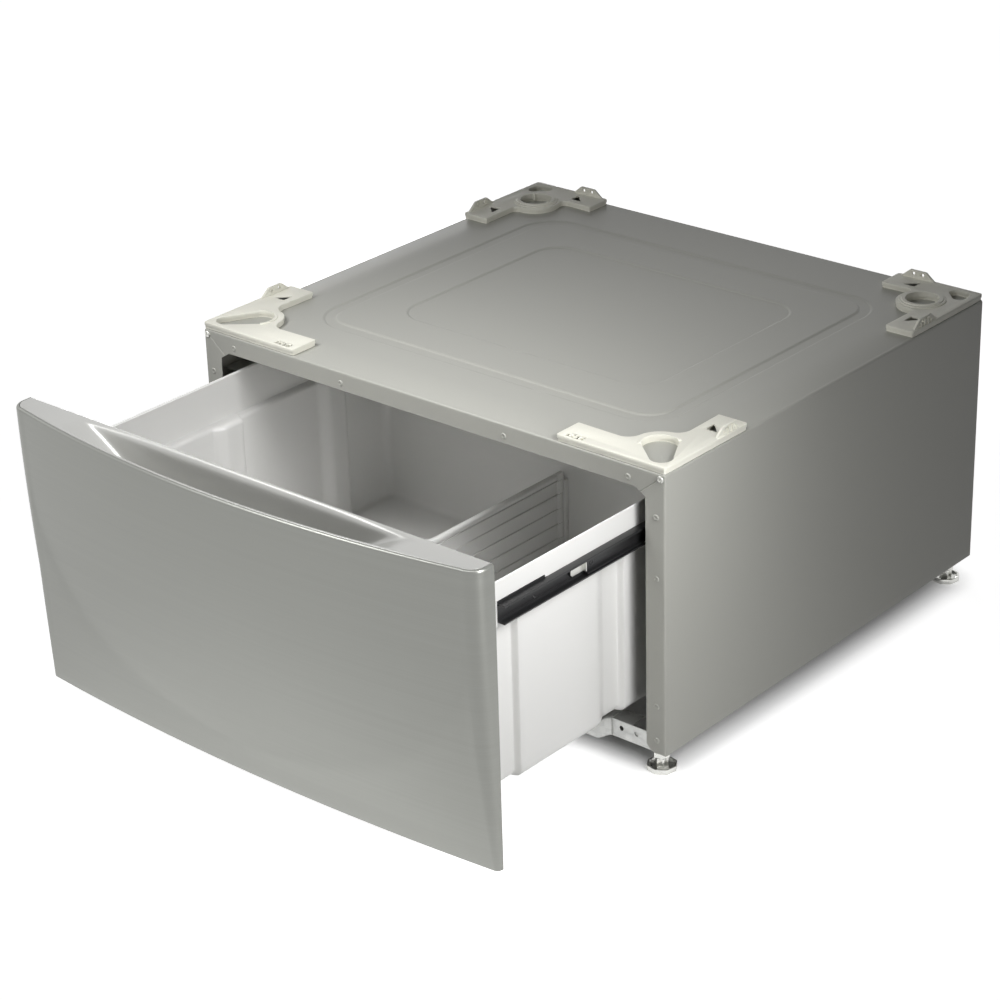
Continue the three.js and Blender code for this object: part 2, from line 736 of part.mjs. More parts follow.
function lockNut(s, rear) {
  const [x, y] = footAt(s, rear);
  const z1 = -BOSS_DROP - SEAT;
  const nut = post(x, y, z1 - NUT_H, z1, acrossFlats(NUT_FLATS), 6);
  return cut(nut, post(x, y, z1 - NUT_H - PAST, z1 + PAST, STUD_R + THREAD_GAP));
}

// ---- Door ---------------------------------------------------------------

// How far down the door a height is, from 0 at its top edge to 1 at its lower edge.
const downDoor = (z) => (DOOR_TOP - z) / (DOOR_TOP - DOOR_BOTTOM);
const lean = (z) => THREE.MathUtils.clamp(downDoor(z), 0, 1) ** DOOR_LEAN_POWER;
const endDepth = (z) => THREE.MathUtils.lerp(DOOR_END_TOP, DOOR_END_BOTTOM, lean(z));
const bowDepth = (z) => THREE.MathUtils.lerp(DOOR_BOW_TOP, DOOR_BOW_BOTTOM, lean(z));
const cornerRadius = (z) => Math.min(DOOR_CORNER_R, endDepth(z) - SKIN);

// y of the door's front at x and z, set back by inset.
function doorFace(x, z, inset = 0) {
  const edge = DOOR_HALF_W - cornerRadius(z);
  const across = Math.min(1, Math.abs(x) / edge);
  return doorBack - endDepth(z) - bowDepth(z) * (1 - across * across) + inset;
}

// The door's plan outline at height z, inset from the front and the ends.
function doorSection(z, inset, yRear) {
  const w = DOOR_HALF_W - inset;
  const r = Math.max(0.5, cornerRadius(z) - inset);
  const yCorner = doorBack - endDepth(z) + inset + r;
  const points = [[-w, yRear, z]];
  const turns = 5;
  const across = 20;
  for (let i = 0; i < turns; i++) {
    const a = (Math.PI / 2) * (i / turns);
    points.push([-w + r - r * Math.cos(a), yCorner - r * Math.sin(a), z]);
  }
  for (let i = 0; i <= across; i++) {
    const x = (w - r) * ((2 * i) / across - 1);
    points.push([x, doorFace(x, z, inset), z]);
  }
  for (let i = turns - 1; i >= 0; i--) {
    const a = (Math.PI / 2) * (i / turns);
    points.push([w - r + r * Math.cos(a), yCorner - r * Math.sin(a), z]);
  }
  points.push([w, yRear, z]);
  return points;
}

function doorSkin() {
  const rows = levels(DOOR_BOTTOM, DOOR_TOP, 8);
  const outer = loft(rows.map((z) => doorSection(z, 0, doorBack)));
  const reach = levels(DOOR_BOTTOM - PAST, DOOR_TOP + PAST, 8);
  const hollow = loft(reach.map((z) => doorSection(z, SKIN, doorBack + PAST)));
  return cut(outer, hollow);
}

// The finger recess: narrower at its floor than at its mouth.
function scoop(grow) {
  const mouth = DOOR_TOP + (grow > 0 ? -CAP_T / 2 : PAST);
  const floor = DOOR_TOP - SCOOP_DEPTH - grow;
  const section = (z) => {
    const t = THREE.MathUtils.clamp((DOOR_TOP - z) / SCOOP_DEPTH, 0, 1);
    const w = THREE.MathUtils.lerp(SCOOP_HALF_W, SCOOP_FLOOR_HALF_W, t) + grow;
    const rear = doorBack - SCOOP_REAR_RIM + grow;
    const n = 16;
    const points = [];
    for (let i = 0; i <= n; i++) {
      const x = w * ((2 * i) / n - 1);
      points.push([x, doorFace(x, z, SKIN + SCOOP_FRONT_LIP - grow), z]);
    }
    points.push([w, rear, z], [-w, rear, z]);
    return points;
  };
  return loft(levels(floor, mouth, 4).map(section));
}

function doorTopCap() {
  const inset = SKIN + SEAT;
  const lid = loft([DOOR_TOP - CAP_T, DOOR_TOP].map((z) => doorSection(z, inset, doorBack)));
  return cut(join(lid, scoop(CAP_WALL)), scoop(0));
}

function doorBottomCap() {
  const inset = SKIN + SEAT;
  const z1 = DOOR_BOTTOM + BOTTOM_CAP_H;
  return loft([DOOR_BOTTOM, z1].map((z) => doorSection(z, inset, doorBack)));
}

const doorScrewsAt = SIDES.flatMap(([, s]) => DOOR_SCREWS_Z.map((z) => [s * DOOR_SCREWS_X, z]));

// The way for a door screw through the inner panel and the bin's front wall.
function doorScrewHole([x, z]) {
  return barY(x, doorBack - INNER_PANEL_T - PAST, binFront + BIN_WALL + PAST, z, SCREW_HOLE_R);
}

function doorScrew([x, z]) {
  const face = binFront + BIN_WALL + SEAT;
  return join(
    barY(x, face, face + SCREW_HEAD, z, DOOR_SCREW_R),
    barY(x, doorBack - DOOR_SCREW_END, face + SCREW_HEAD / 2, z, SCREW_SHANK_R),
  );
}

function doorInnerPanel() {
  const w = DOOR_HALF_W - SKIN - SEAT;
  const z0 = DOOR_BOTTOM + BOTTOM_CAP_H + SEAT;
  const z1 = DOOR_TOP - CAP_T - SEAT;
  return cut(box(-w, w, doorBack - INNER_PANEL_T, doorBack, z0, z1), ...doorScrewsAt.map(doorScrewHole));
}

// ---- Bin ----------------------------------------------------------------

// Plan outline of the bin's body, inset all round, with its flutes.
function binOutline(inset, z) {
  const w = BIN_HALF_W - inset;
  const y0 = binFront + inset;
  const y1 = binRear - inset;
  const r = Math.max(BIN_CORNER_R - inset, BAND_CORNER_R);
  const points = [[w, y0, z]];
  for (let i = 0; i < FLUTES; i++) {
    const start = binFront + FLUTE_FIRST + i * FLUTE_PITCH;
    const end = start + FLUTE_W;
    points.push([w, start, z]);
    points.push([w - FLUTE_DEPTH, start + FLUTE_RUN, z]);
    points.push([w - FLUTE_DEPTH, end - FLUTE_STEP, z]);
    points.push([w, end, z]);
  }
  const turns = 5;
  for (let i = 0; i <= turns; i++) {
    const a = (Math.PI / 2) * (i / turns);
    points.push([w - r + r * Math.cos(a), y1 - r + r * Math.sin(a), z]);
  }
  return [...points, ...points.map(([x, y]) => [-x, y, z]).reverse()];
}

// The body's sections: its walls turn into its floor along a quarter round.
function binBody(wall) {
  const bottom = BIN_BOTTOM + wall;
  const turns = 3;
  const sections = [];
  for (let i = 0; i <= turns; i++) {
    const a = (Math.PI / 2) * (i / turns);
    const inset = wall + BIN_FOOT_R * (1 - Math.sin(a));
    sections.push(binOutline(inset, bottom + BIN_FOOT_R * (1 - Math.cos(a))));
  }
  const top = wall > 0 ? BAND_TOP + PAST : bandBottom;
  sections.push(binOutline(wall, top));
  return loft(sections);
}

function drawerBin() {
  const band = (inset) =>
    roundedRect(
      -BAND_HALF_W + inset,
      BAND_HALF_W - inset,
      binFront + inset,
      binRear + BAND_REAR - inset,
      BAND_CORNER_R - inset / 2,
    );
  const outer = join(binBody(0), raise(band(0), bandBottom - BIN_WALL, BAND_TOP, 3));
  const hollow = join(binBody(BIN_WALL), raise(band(BIN_WALL), bandBottom, BAND_TOP + PAST, 3));
  const holes = SIDES.flatMap(([, s]) => slideScrewsY().map((y) => slideScrewHole(s, y)));
  return cut(outer, hollow, ...holes, ...doorScrewsAt.map(doorScrewHole));
}

// An upright channel on one of the bin's end walls, which the divider's edge slides into.
function dividerGuide(wall, way, top) {
  const x0 = DIVIDER_EDGE_T / 2 + GUIDE_GAP;
  const x1 = x0 + GUIDE_T;
  const y = (d) => wall + way * d;
  const z0 = floorTop + BIN_FOOT_R;
  const back = box(-x1, x1, y(SEAT), y(SEAT + GUIDE_WEB), z0, top);
  const cheeks = SIDES.map(([, s]) => box(s * x0, s * x1, y(SEAT), y(GUIDE_DEPTH), z0, top));
  return join(back, ...cheeks);
}

// ---- Divider ------------------------------------------------------------

function divider() {
  const y0 = binFront + BIN_WALL + dividerEnd;
  const y1 = binRear - BIN_WALL - dividerEnd;
  const z0 = floorTop + SEAT;
  const riseStart = y1 - DIVIDER_RISE_START;
  const riseEnd = riseStart - DIVIDER_RISE_RUN;
  // the web's outline, whose top rises in an S towards the front
  const upTo = (drop) => {
    const s = new THREE.Shape();
    s.moveTo(y0, z0 + BIN_FOOT_R);
    s.lineTo(y0 + BIN_FOOT_R, z0);
    s.lineTo(y1 - BIN_FOOT_R, z0);
    s.lineTo(y1, z0 + BIN_FOOT_R);
    s.lineTo(y1, DIVIDER_LOW - drop);
    s.lineTo(riseStart, DIVIDER_LOW - drop);
    s.bezierCurveTo(
      riseStart - DIVIDER_RISE_RUN / 2,
      DIVIDER_LOW - drop,
      riseStart - DIVIDER_RISE_RUN / 2,
      DIVIDER_HIGH - drop,
      riseEnd,
      DIVIDER_HIGH - drop,
    );
    s.lineTo(y0, DIVIDER_HIGH - drop);
    s.closePath();
    return s;
  };
  const slab = (t, drop = 0) => alongX(upTo(drop), -t / 2, t / 2, 10);
  const bead = cut(slab(DIVIDER_BEAD_T), alongX(upTo(DIVIDER_BEAD_H), -DIVIDER_BEAD_T, DIVIDER_BEAD_T, 10));
  const edgeX = DIVIDER_EDGE_T / 2;
  const edge = (from, to, top) => box(-edgeX, edgeX, from, to, z0 + BIN_FOOT_R, top);
  const ends = [edge(y0, y0 + DIVIDER_EDGE_W, DIVIDER_HIGH), edge(y1 - DIVIDER_EDGE_W, y1, DIVIDER_LOW)];
  const ribHalf = DIVIDER_T / 2 + DIVIDER_RIB;
  const rib = (z) => box(-ribHalf, ribHalf, y0 + DIVIDER_T, y1 - DIVIDER_T, z, z + DIVIDER_RIB);
  // the bead stops short of the guides
  const end = (from, to) => box(-DIVIDER_BEAD_T, DIVIDER_BEAD_T, from, to, z0, DIVIDER_HIGH + PAST);
  const clear = DIVIDER_EDGE_W + PAST;
  const trimmed = cut(bead, end(y0 - PAST, y0 + clear), end(y1 - clear, y1 + PAST));
  return join(slab(DIVIDER_T), trimmed, ...ends, ...DIVIDER_RIBS_Z.map(rib));
}

// ---- Slides -------------------------------------------------------------

// Each slide is drawn on the right-hand side; d is the distance out from the bin.
const slideX = (d) => slideBack + d;
const slideScrewsY = () => SCREWS_FROM_FRONT.map((d) => SLIDE_FRONT - shutTravel + d);
const screwZ = SLIDE_Z + SCREW_RISE;

function slideScrewHole(s, y) {
  const inner = s * (BAND_HALF_W - BIN_WALL - PAST);
  const outer = s * (slideBack + SLIDE_T + PAST);
  return barX(inner, outer, y, screwZ, SCREW_HOLE_R);
}

// A channel's outline in x and z: web at d0, lips out to d1.
function channelOutline(d0, d1, h, t) {
  return outline([
    [slideX(d0), SLIDE_Z - h],
    [slideX(d1), SLIDE_Z - h],
    [slideX(d1), SLIDE_Z - h + t],
    [slideX(d0) + t, SLIDE_Z - h + t],
    [slideX(d0) + t, SLIDE_Z + h - t],
    [slideX(d1), SLIDE_Z + h - t],
    [slideX(d1), SLIDE_Z + h],
    [slideX(d0), SLIDE_Z + h],
  ]);
}

function drawerMember() {
  const y0 = SLIDE_FRONT - shutTravel;
  const y1 = y0 + SLIDE_L;
  const body = alongY(channelOutline(0, SLIDE_DEPTH, SLIDE_HALF_H, SLIDE_T), y0, y1);
  const hooks = [-1, 1].map((up) =>
    box(
      slideX(SLIDE_DEPTH - SLIDE_T),
      slideX(SLIDE_DEPTH),
      y0,
      y1,
      SLIDE_Z + up * SLIDE_HALF_H,
      SLIDE_Z + up * (SLIDE_HALF_H - SLIDE_HOOK),
    ),
  );
  const top = SLIDE_Z + SLIDE_HALF_H;
  const tail = box(slideX(0), slideX(SLIDE_T), y0, y0 + SLIDE_TAIL, top - SLIDE_T, top + SLIDE_TAIL_RISE);
  return cut(join(body, ...hooks, tail), ...slideScrewsY().map((y) => slideScrewHole(1, y)));
}

function middleMember() {
  const y0 = SLIDE_FRONT - shutTravel / 2;
  const section = channelOutline(MIDDLE_BACK, MIDDLE_BACK + MIDDLE_DEPTH, MIDDLE_HALF_H, SLIDE_T);
  return alongY(section, y0, y0 + SLIDE_L);
}

// The fixed member opens towards the bin; its web lies on the bracket.
function fixedMember() {
  const d1 = SLIDE_TOTAL;
  const d0 = SLIDE_TOTAL - FIXED_DEPTH;
  const h = FIXED_HALF_H;
  const t = SLIDE_T;
  const shape = outline([
    [slideX(d0), SLIDE_Z - h],
    [slideX(d1), SLIDE_Z - h],
    [slideX(d1), SLIDE_Z + h],
    [slideX(d0), SLIDE_Z + h],
    [slideX(d0), SLIDE_Z + h - t],
    [slideX(d1) - t, SLIDE_Z + h - t],
    [slideX(d1) - t, SLIDE_Z - h + t],
    [slideX(d0), SLIDE_Z - h + t],
  ]);
  return alongY(shape, SLIDE_FRONT, SLIDE_FRONT + SLIDE_L);
}

// A strip that holds two rows of balls between an outer member's lips and an inner member, given as
// half heights.
function cage(y0, dWeb, dBalls, outer, inner) {
  const zRow = (outer + inner) / 2;
  const hWeb = zRow + CAGE_T / 2;
  const ballR = (outer - inner) / 2 - BALL_GAP;
  const y1 = y0 + CAGE_L;
  const strip = alongY(channelOutline(dWeb, dBalls + CAGE_EDGE, hWeb, CAGE_T), y0, y1);
  const balls = [];
  for (let y = y0 + BALL_PITCH / 2; y < y1; y += BALL_PITCH) {
    for (const up of [-1, 1]) {
      const ball = new THREE.IcosahedronGeometry(ballR, 0);
      balls.push(solid(ball.translate(slideX(dBalls), y, SLIDE_Z + up * zRow)));
    }
  }
  return join(strip, ...balls);
}

// Between the drawer member and the middle one: it moves with their mean.
function outerCage() {
  const y0 = SLIDE_FRONT + CAGE_CLOSED - 0.75 * shutTravel;
  const inside = SLIDE_HALF_H - SLIDE_T;
  return cage(y0, SLIDE_T + CAGE_GAP, MIDDLE_BACK + MIDDLE_DEPTH / 2, inside, MIDDLE_HALF_H);
}

// Between the middle member and the fixed one.
function innerCage() {
  const y0 = SLIDE_FRONT + CAGE_CLOSED - 0.25 * shutTravel;
  const inside = MIDDLE_HALF_H - SLIDE_T;
  const back = MIDDLE_BACK + SLIDE_T + CAGE_GAP;
  return cage(y0, back, back + CAGE_EDGE + CAGE_T, inside, FIXED_HALF_H);
}

// The sprung stop at the middle member's front end.
function slideClip() {
  const y1 = SLIDE_FRONT - shutTravel / 2 - SEAT;
  const y0 = y1 - CLIP_L;
  const z0 = SLIDE_Z + CLIP_RISE - CLIP_H / 2;
  const d = MIDDLE_BACK;
  const shape = outline([
    [y1, z0],
    [y1, z0 + CLIP_H],
    [y0 + CLIP_CUT, z0 + CLIP_H],
    [y0, z0 + CLIP_H - CLIP_CUT],
    [y0, z0 + CLIP_CUT / 2],
    [y0 + CLIP_CUT / 2, z0],
  ]);
  return join(
    alongX(shape, slideX(d), slideX(d + CLIP_T)),
    box(slideX(d), slideX(d + CLIP_DEPTH), y1 - CLIP_T, y1, z0, z0 + CLIP_H),
  );
}

function slideScrew(y) {
  const face = slideX(SLIDE_T) + SEAT / 2;
  return join(
    barX(face, face + SCREW_HEAD, y, screwZ, SCREW_R),
    barX(BAND_HALF_W - BIN_WALL - PAST, face + SCREW_HEAD / 2, y, screwZ, SCREW_SHANK_R),
  );
}

function slideBracket() {
  const x0 = slideFace + SEAT;
  const x1 = half - SHEET - SEAT;
  const t = BRACKET_T;
  const h = BRACKET_HALF_H;
  const shape = outline([
    [x1, SLIDE_Z - h],
    [x1, SLIDE_Z - h + t],
    [x0 + t, SLIDE_Z - h + t],
    [x0 + t, SLIDE_Z + h - t],
    [x1, SLIDE_Z + h - t],
    [x1, SLIDE_Z + h],
    [x0, SLIDE_Z + h],
    [x0, SLIDE_Z - h],
  ]);
  return alongY(shape, BRACKET_FRONT, BRACKET_FRONT + BRACKET_L);
}

// ---- Assembly -----------------------------------------------------------

add("cabinet_wrapper", casing(), MATERIALS.casing);
add("back_panel", backPanel(), MATERIALS.steel);
backScrewsAt.forEach((at, i) => add(`back_screw_${i + 1}`, backScrew(at), MATERIALS.zinc));
add("front_cross_rail", frontRail(), MATERIALS.steel);
add("rear_cross_rail", rearRail(), MATERIALS.steel);

add("door_skin", doorSkin(), MATERIALS.stainless);
add("door_top_cap", doorTopCap(), MATERIALS.trim);
add("door_bottom_cap", doorBottomCap(), MATERIALS.trim);
add("door_inner_panel", doorInnerPanel(), MATERIALS.steel);
doorScrewsAt.forEach((at, i) => add(`door_screw_${i + 1}`, doorScrew(at), MATERIALS.zinc));
add("drawer_bin", drawerBin(), MATERIALS.bin);
add("divider", divider(), MATERIALS.bin);
add("divider_guide_front", dividerGuide(binFront + BIN_WALL, 1, GUIDE_FRONT_TOP), MATERIALS.bin);
add("divider_guide_rear", dividerGuide(binRear - BIN_WALL, -1, GUIDE_REAR_TOP), MATERIALS.bin);

for (const [side, s] of SIDES) {
  add(`mitre_screw_${side}`, mitreScrew(s), MATERIALS.zinc);
  add(`slide_bracket_${side}`, onSide(slideBracket(), s), MATERIALS.steel);
  add(`slide_fixed_member_${side}`, onSide(fixedMember(), s), MATERIALS.slide);
  add(`slide_middle_member_${side}`, onSide(middleMember(), s), MATERIALS.slide);
  add(`slide_drawer_member_${side}`, onSide(drawerMember(), s), MATERIALS.slide);
  add(`slide_stop_clip_${side}`, onSide(slideClip(), s), MATERIALS.zinc);
  add(`ball_cage_outer_${side}`, onSide(outerCage(), s), MATERIALS.zinc);
  add(`ball_cage_inner_${side}`, onSide(innerCage(), s), MATERIALS.zinc);
  slideScrewsY().forEach((y, i) => {
    add(`slide_screw_${side}_${i + 1}`, onSide(slideScrew(y), s), MATERIALS.zinc);
  });
  for (const [end, rear] of [
    ["front", false],
    ["rear", true],
  ]) {
    add(`corner_plate_${end}_${side}`, cornerPlate(s, rear), MATERIALS.plate);
    add(`foot_bracket_${end}_${side}`, footBracket(s, rear), MATERIALS.steel);
    add(`foot_${end}_${side}`, foot(s, rear), MATERIALS.zinc);
    add(`lock_nut_${end}_${side}`, lockNut(s, rear), MATERIALS.zinc);
  }
}

const part = new THREE.Group();
part.add(assembly);

export default part;
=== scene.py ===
"""Washer pedestal drawer: a low sheet-metal pedestal with a pull-out drawer, drawn round its frame."""

import math

import bmesh
import bpy
import numpy as np
from mathutils import Matrix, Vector
from mathutils.geometry import tessellate_polygon


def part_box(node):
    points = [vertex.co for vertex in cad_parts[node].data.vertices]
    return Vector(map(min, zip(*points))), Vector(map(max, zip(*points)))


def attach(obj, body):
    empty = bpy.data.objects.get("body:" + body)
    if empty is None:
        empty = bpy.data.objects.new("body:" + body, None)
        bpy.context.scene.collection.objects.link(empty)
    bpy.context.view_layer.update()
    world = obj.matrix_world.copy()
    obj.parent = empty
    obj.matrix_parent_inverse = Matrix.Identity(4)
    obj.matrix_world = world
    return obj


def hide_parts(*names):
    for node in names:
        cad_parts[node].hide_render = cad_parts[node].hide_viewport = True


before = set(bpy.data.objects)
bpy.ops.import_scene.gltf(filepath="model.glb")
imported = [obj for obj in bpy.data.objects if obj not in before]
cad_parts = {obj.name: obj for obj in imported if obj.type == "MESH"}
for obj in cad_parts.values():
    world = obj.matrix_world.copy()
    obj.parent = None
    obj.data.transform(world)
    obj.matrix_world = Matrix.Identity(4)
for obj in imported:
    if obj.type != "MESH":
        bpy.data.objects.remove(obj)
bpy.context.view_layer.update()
scene = bpy.context.scene

# ---- Camera --------------------------------------------------------------
# A long lens, about three and a half metres from the drawer's front right corner, looks down
# on the pedestal by some 25 degrees and leans by less than two.

yaw, pitch, roll = 0.71805, 0.44389, -0.02947
forward = np.array(
    [-math.sin(yaw) * math.cos(pitch), math.cos(yaw) * math.cos(pitch), -math.sin(pitch)]
)
level = np.array([math.cos(yaw), math.sin(yaw), 0.0])
upright = np.cross(level, forward)
right = math.cos(roll) * level + math.sin(roll) * upright
up = math.cos(roll) * upright - math.sin(roll) * level
camera = bpy.data.objects.new("camera", bpy.data.cameras.new("camera"))
camera.data.lens = 102.53
camera.data.clip_end = 60
camera.matrix_world = Matrix(
    [[*row, place] for row, place in zip(np.stack([right, up, -forward], 1), (1.97916, -2.27765, 1.62414))]
    + [[0, 0, 0, 1]]
)
scene.collection.objects.link(camera)
scene.camera = camera

# ---- Casing --------------------------------------------------------------
# Top and sides are one sheet of painted steel, folded over at the front into a flat flange whose
# corners are mitred. A groove and a sunk panel are pressed into the top; lips stiffen the rest.

HALF = 343.0
DEEP = 620.0
HIGH = 340.0
FOLD = 3.0
EDGE = 2.5
INNER_X = 317.0
INNER_Z = 317.0
GUSSET = ((317.0, 308.0), (303.0, 317.0))
SHEET = 1.0
BEAD = 1.5
GROOVE = (262, 92, 539, 48)
PANEL = (190, 168, 467, 36)
MITRE_GAP = 2.1
LIP = 12.0
CORNER_STEPS = 14
STRAIGHT_STEPS = 9
origin = np.array([0.0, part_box("cabinet_wrapper")[0][1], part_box("cabinet_wrapper")[0][2]])


def grid(rows, cols, closed=False):
    """Quads of a grid of rows times cols points; closed joins its last column to its first."""
    r = np.arange(rows - 1)[:, None] * cols
    c = np.arange(cols if closed else cols - 1)[None, :]
    n = (c + 1) % cols
    return np.stack([r + c, r + n, r + n + cols, r + c + cols], -1).reshape(-1, 4)


def tube(rows, cols):
    """Faces of a closed tube of rows times cols points, with a lid at each end."""
    lids = [list(range(cols)), list(range((rows - 1) * cols, rows * cols))]
    return grid(rows, cols, closed=True).tolist() + lids


def sheet(points, closed=False, flipped=False):
    """Rows of points as a surface of quads."""
    quads = grid(*points.shape[:2], closed)
    return points, quads[:, ::-1] if flipped else quads


def storeys(rows):
    """Rows of points from plans, each at its height."""
    return np.stack([np.column_stack([plan, np.full(len(plan), z)]) for plan, z in rows])


def together(*shapes):
    """Several (points, faces) as one, with each one's face numbers moved past the points before it."""
    points, faces, count = [], [], 0
    for p, f in shapes:
        p = np.asarray(p, float).reshape(-1, 3)
        points.append(p)
        faces += [[i + count for i in face] for face in (f.tolist() if isinstance(f, np.ndarray) else f)]
        count += len(p)
    return np.concatenate(points), faces


def walled(shape, wall):
    """A closed wall from a surface of quads: each point has a twin set in against the mean of the
    unit normals round it, by wall over the cosine to them, and a band runs along each free edge."""
    rounded = np.round(np.asarray(shape[0], float).reshape(-1, 3), 3)
    points, where = np.unique(rounded, axis=0, return_inverse=True)
    quads = where.reshape(-1)[np.asarray(shape[1])]
    a, b, c, d = (points[quads[:, i]] for i in range(4))
    facing = np.cross(c - a, d - b)
    facing /= np.maximum(np.linalg.norm(facing, axis=1, keepdims=True), 1e-9)
    lean = np.zeros_like(points)
    for i in range(4):
        np.add.at(lean, quads[:, i], facing)
    lean /= np.maximum(np.linalg.norm(lean, axis=1, keepdims=True), 1e-9)
    cosine, share = np.zeros(len(points)), np.zeros(len(points))
    for i in range(4):
        np.add.at(cosine, quads[:, i], (facing * lean[quads[:, i]]).sum(1))
        np.add.at(share, quads[:, i], 1)
    inner = points - lean * (wall / np.clip(cosine / np.maximum(share, 1), 0.7, 1))[:, None]
    n = len(points)
    edges = np.concatenate([np.stack([quads[:, i], quads[:, (i + 1) % 4]], 1) for i in range(4)])
    edges = edges[edges[:, 0] != edges[:, 1]]
    key = edges.min(1).astype(np.int64) * n + edges.max(1)
    _, first, count = np.unique(key, return_index=True, return_counts=True)
    free = edges[first[count == 1]]
    band = np.stack([free[:, 1], free[:, 0], free[:, 0] + n, free[:, 1] + n], 1)
    return np.concatenate([points, inner]), np.concatenate([quads, quads[:, ::-1] + n, band])


def place(name, shape, body, slot, look, stands_for=(), crease=32):
    """A piece from points in millimetres and faces. Points that meet are joined, faces are turned
    outwards, and only edges that turn by more than crease degrees stay sharp."""
    points, faces = shape
    faces = faces.tolist() if isinstance(faces, np.ndarray) else faces
    faces = [f for f in (tuple(dict.fromkeys(f)) for f in faces) if len(f) > 2]
    mesh = bpy.data.meshes.new(name)
    mesh.from_pydata(np.asarray(points).reshape(-1, 3) / 1000 + origin, [], faces)
    work = bmesh.new()
    work.from_mesh(mesh)
    bmesh.ops.remove_doubles(work, verts=work.verts, dist=2e-6)
    bmesh.ops.recalc_face_normals(work, faces=work.faces)
    work.to_mesh(mesh)
    work.free()
    mesh.polygons.foreach_set("use_smooth", np.ones(len(mesh.polygons), bool))
    mesh.set_sharp_from_angle(angle=math.radians(crease))
    mesh.materials.append(look)
    piece = bpy.data.objects.new(name, mesh)
    scene.collection.objects.link(piece)
    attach(piece, body)
    if stands_for:
        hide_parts(*stands_for)


def effect(name, inputs, outputs):
    """An empty shader node group with the named sockets, and its two end nodes."""
    group = bpy.data.node_groups.new(name, "ShaderNodeTree")
    for label, kind, value in inputs:
        socket = group.interface.new_socket(name=label, in_out="INPUT", socket_type=kind)
        if value is not None:
            socket.default_value = value
    for label, kind in outputs:
        group.interface.new_socket(name=label, in_out="OUTPUT", socket_type=kind)
    return group, group.nodes.new("NodeGroupInput"), group.nodes.new("NodeGroupOutput")


def node(tree, kind, settings=None, **inputs):
    """A node of a tree. Settings are its own properties; an input is a value or another's output."""
    made = tree.nodes.new("ShaderNode" + kind)
    for key, value in (settings or {}).items():
        setattr(made, key, value)
    for key, value in inputs.items():
        socket = made.inputs[int(key[1:])] if key[1:].isdigit() else made.inputs[key.replace("_", " ")]
        if isinstance(value, bpy.types.NodeSocket):
            tree.links.new(value, socket)
        else:
            socket.default_value = value
    return made


def maths(tree, operation, *values):
    """The result of a Math node."""
    inputs = {f"_{i}": value for i, value in enumerate(values)}
    return node(tree, "Math", {"operation": operation}, **inputs).outputs[0]


def vectors(tree, operation, *values):
    """The vector result of a Vector Math node."""
    inputs = {f"_{i}": value for i, value in enumerate(values)}
    return node(tree, "VectorMath", {"operation": operation}, **inputs).outputs[0]


def scaled(tree, colour, factor):
    """A colour times a factor."""
    return node(tree, "VectorMath", {"operation": "SCALE"}, _0=colour, Scale=factor).outputs[0]


# Cloudy tone: broad soft noise moves a colour a little lighter and darker, fine noise adds specks.
tone_effect, tone_in, tone_out = effect(
    "cloudy_tone",
    [
        ("Vector", "NodeSocketVector", None),
        ("Colour", "NodeSocketColor", (0.5, 0.5, 0.5, 1)),
        ("Cloud Scale", "NodeSocketFloat", 6.0),
        ("Cloud", "NodeSocketFloat", 0.06),
        ("Speck Scale", "NodeSocketFloat", 900.0),
        ("Speck", "NodeSocketFloat", 0.03),
    ],
    [("Colour", "NodeSocketColor"), ("Tone", "NodeSocketFloat"), ("Grain", "NodeSocketFloat")],
)
place_in, colour_in, cloud_scale, cloud_share, speck_scale, speck_share = tone_in.outputs[:6]
cloud = node(tone_effect, "TexNoise", None, Vector=place_in, Scale=cloud_scale, Detail=3.0)
speck = node(tone_effect, "TexNoise", None, Vector=place_in, Scale=speck_scale, Detail=2.0)
swing = maths(tone_effect, "SUBTRACT", cloud.outputs[0], 0.5)
swing = maths(tone_effect, "MULTIPLY", swing, cloud_share)
prick = maths(tone_effect, "SUBTRACT", speck.outputs[0], 0.5)
prick = maths(tone_effect, "MULTIPLY", prick, speck_share)
factor = maths(tone_effect, "MULTIPLY_ADD", maths(tone_effect, "ADD", swing, prick), 2.0, 1.0)
results = (scaled(tone_effect, colour_in, factor), cloud.outputs[0], speck.outputs[0])
for result, socket in zip(results, tone_out.inputs):
    tone_effect.links.new(result, socket)


def new_look(name, **shader):
    """A material with its Principled shader set, and a link from it to the piece's own coordinates."""
    look = bpy.data.materials.new(name)
    look.use_nodes = True
    tree = look.node_tree
    surface = tree.nodes["Principled BSDF"]
    for key, value in shader.items():
        surface.inputs[key.replace("_", " ")].default_value = value
    where = tree.nodes.new("ShaderNodeTexCoord").outputs["Object"]
    return look, tree, surface, where


def toned(tree, where, colour, **values):
    """The cloudy tone placed in a material, with its own values."""
    made = tree.nodes.new("ShaderNodeGroup")
    made.node_tree = tone_effect
    tree.links.new(where, made.inputs["Vector"])
    made.inputs["Colour"].default_value = (*colour, 1)
    for key, value in values.items():
        made.inputs[key.replace("_", " ")].default_value = value
    return made


def spread(tree, source, low, high, start=0.0, end=1.0, way="LINEAR"):
    """A value between start and end mapped to a range from low to high."""
    limits = {"From_Min": start, "From_Max": end, "To_Min": low, "To_Max": high}
    return node(tree, "MapRange", {"interpolation_type": way}, Value=source, **limits).outputs[0]


def rough_skin(tree, surface, height, strength, distance):
    """A fine relief on the surface from a height."""
    bump = node(tree, "Bump", None, Height=height, Strength=strength, Distance=distance)
    tree.links.new(bump.outputs[0], surface.inputs["Normal"])


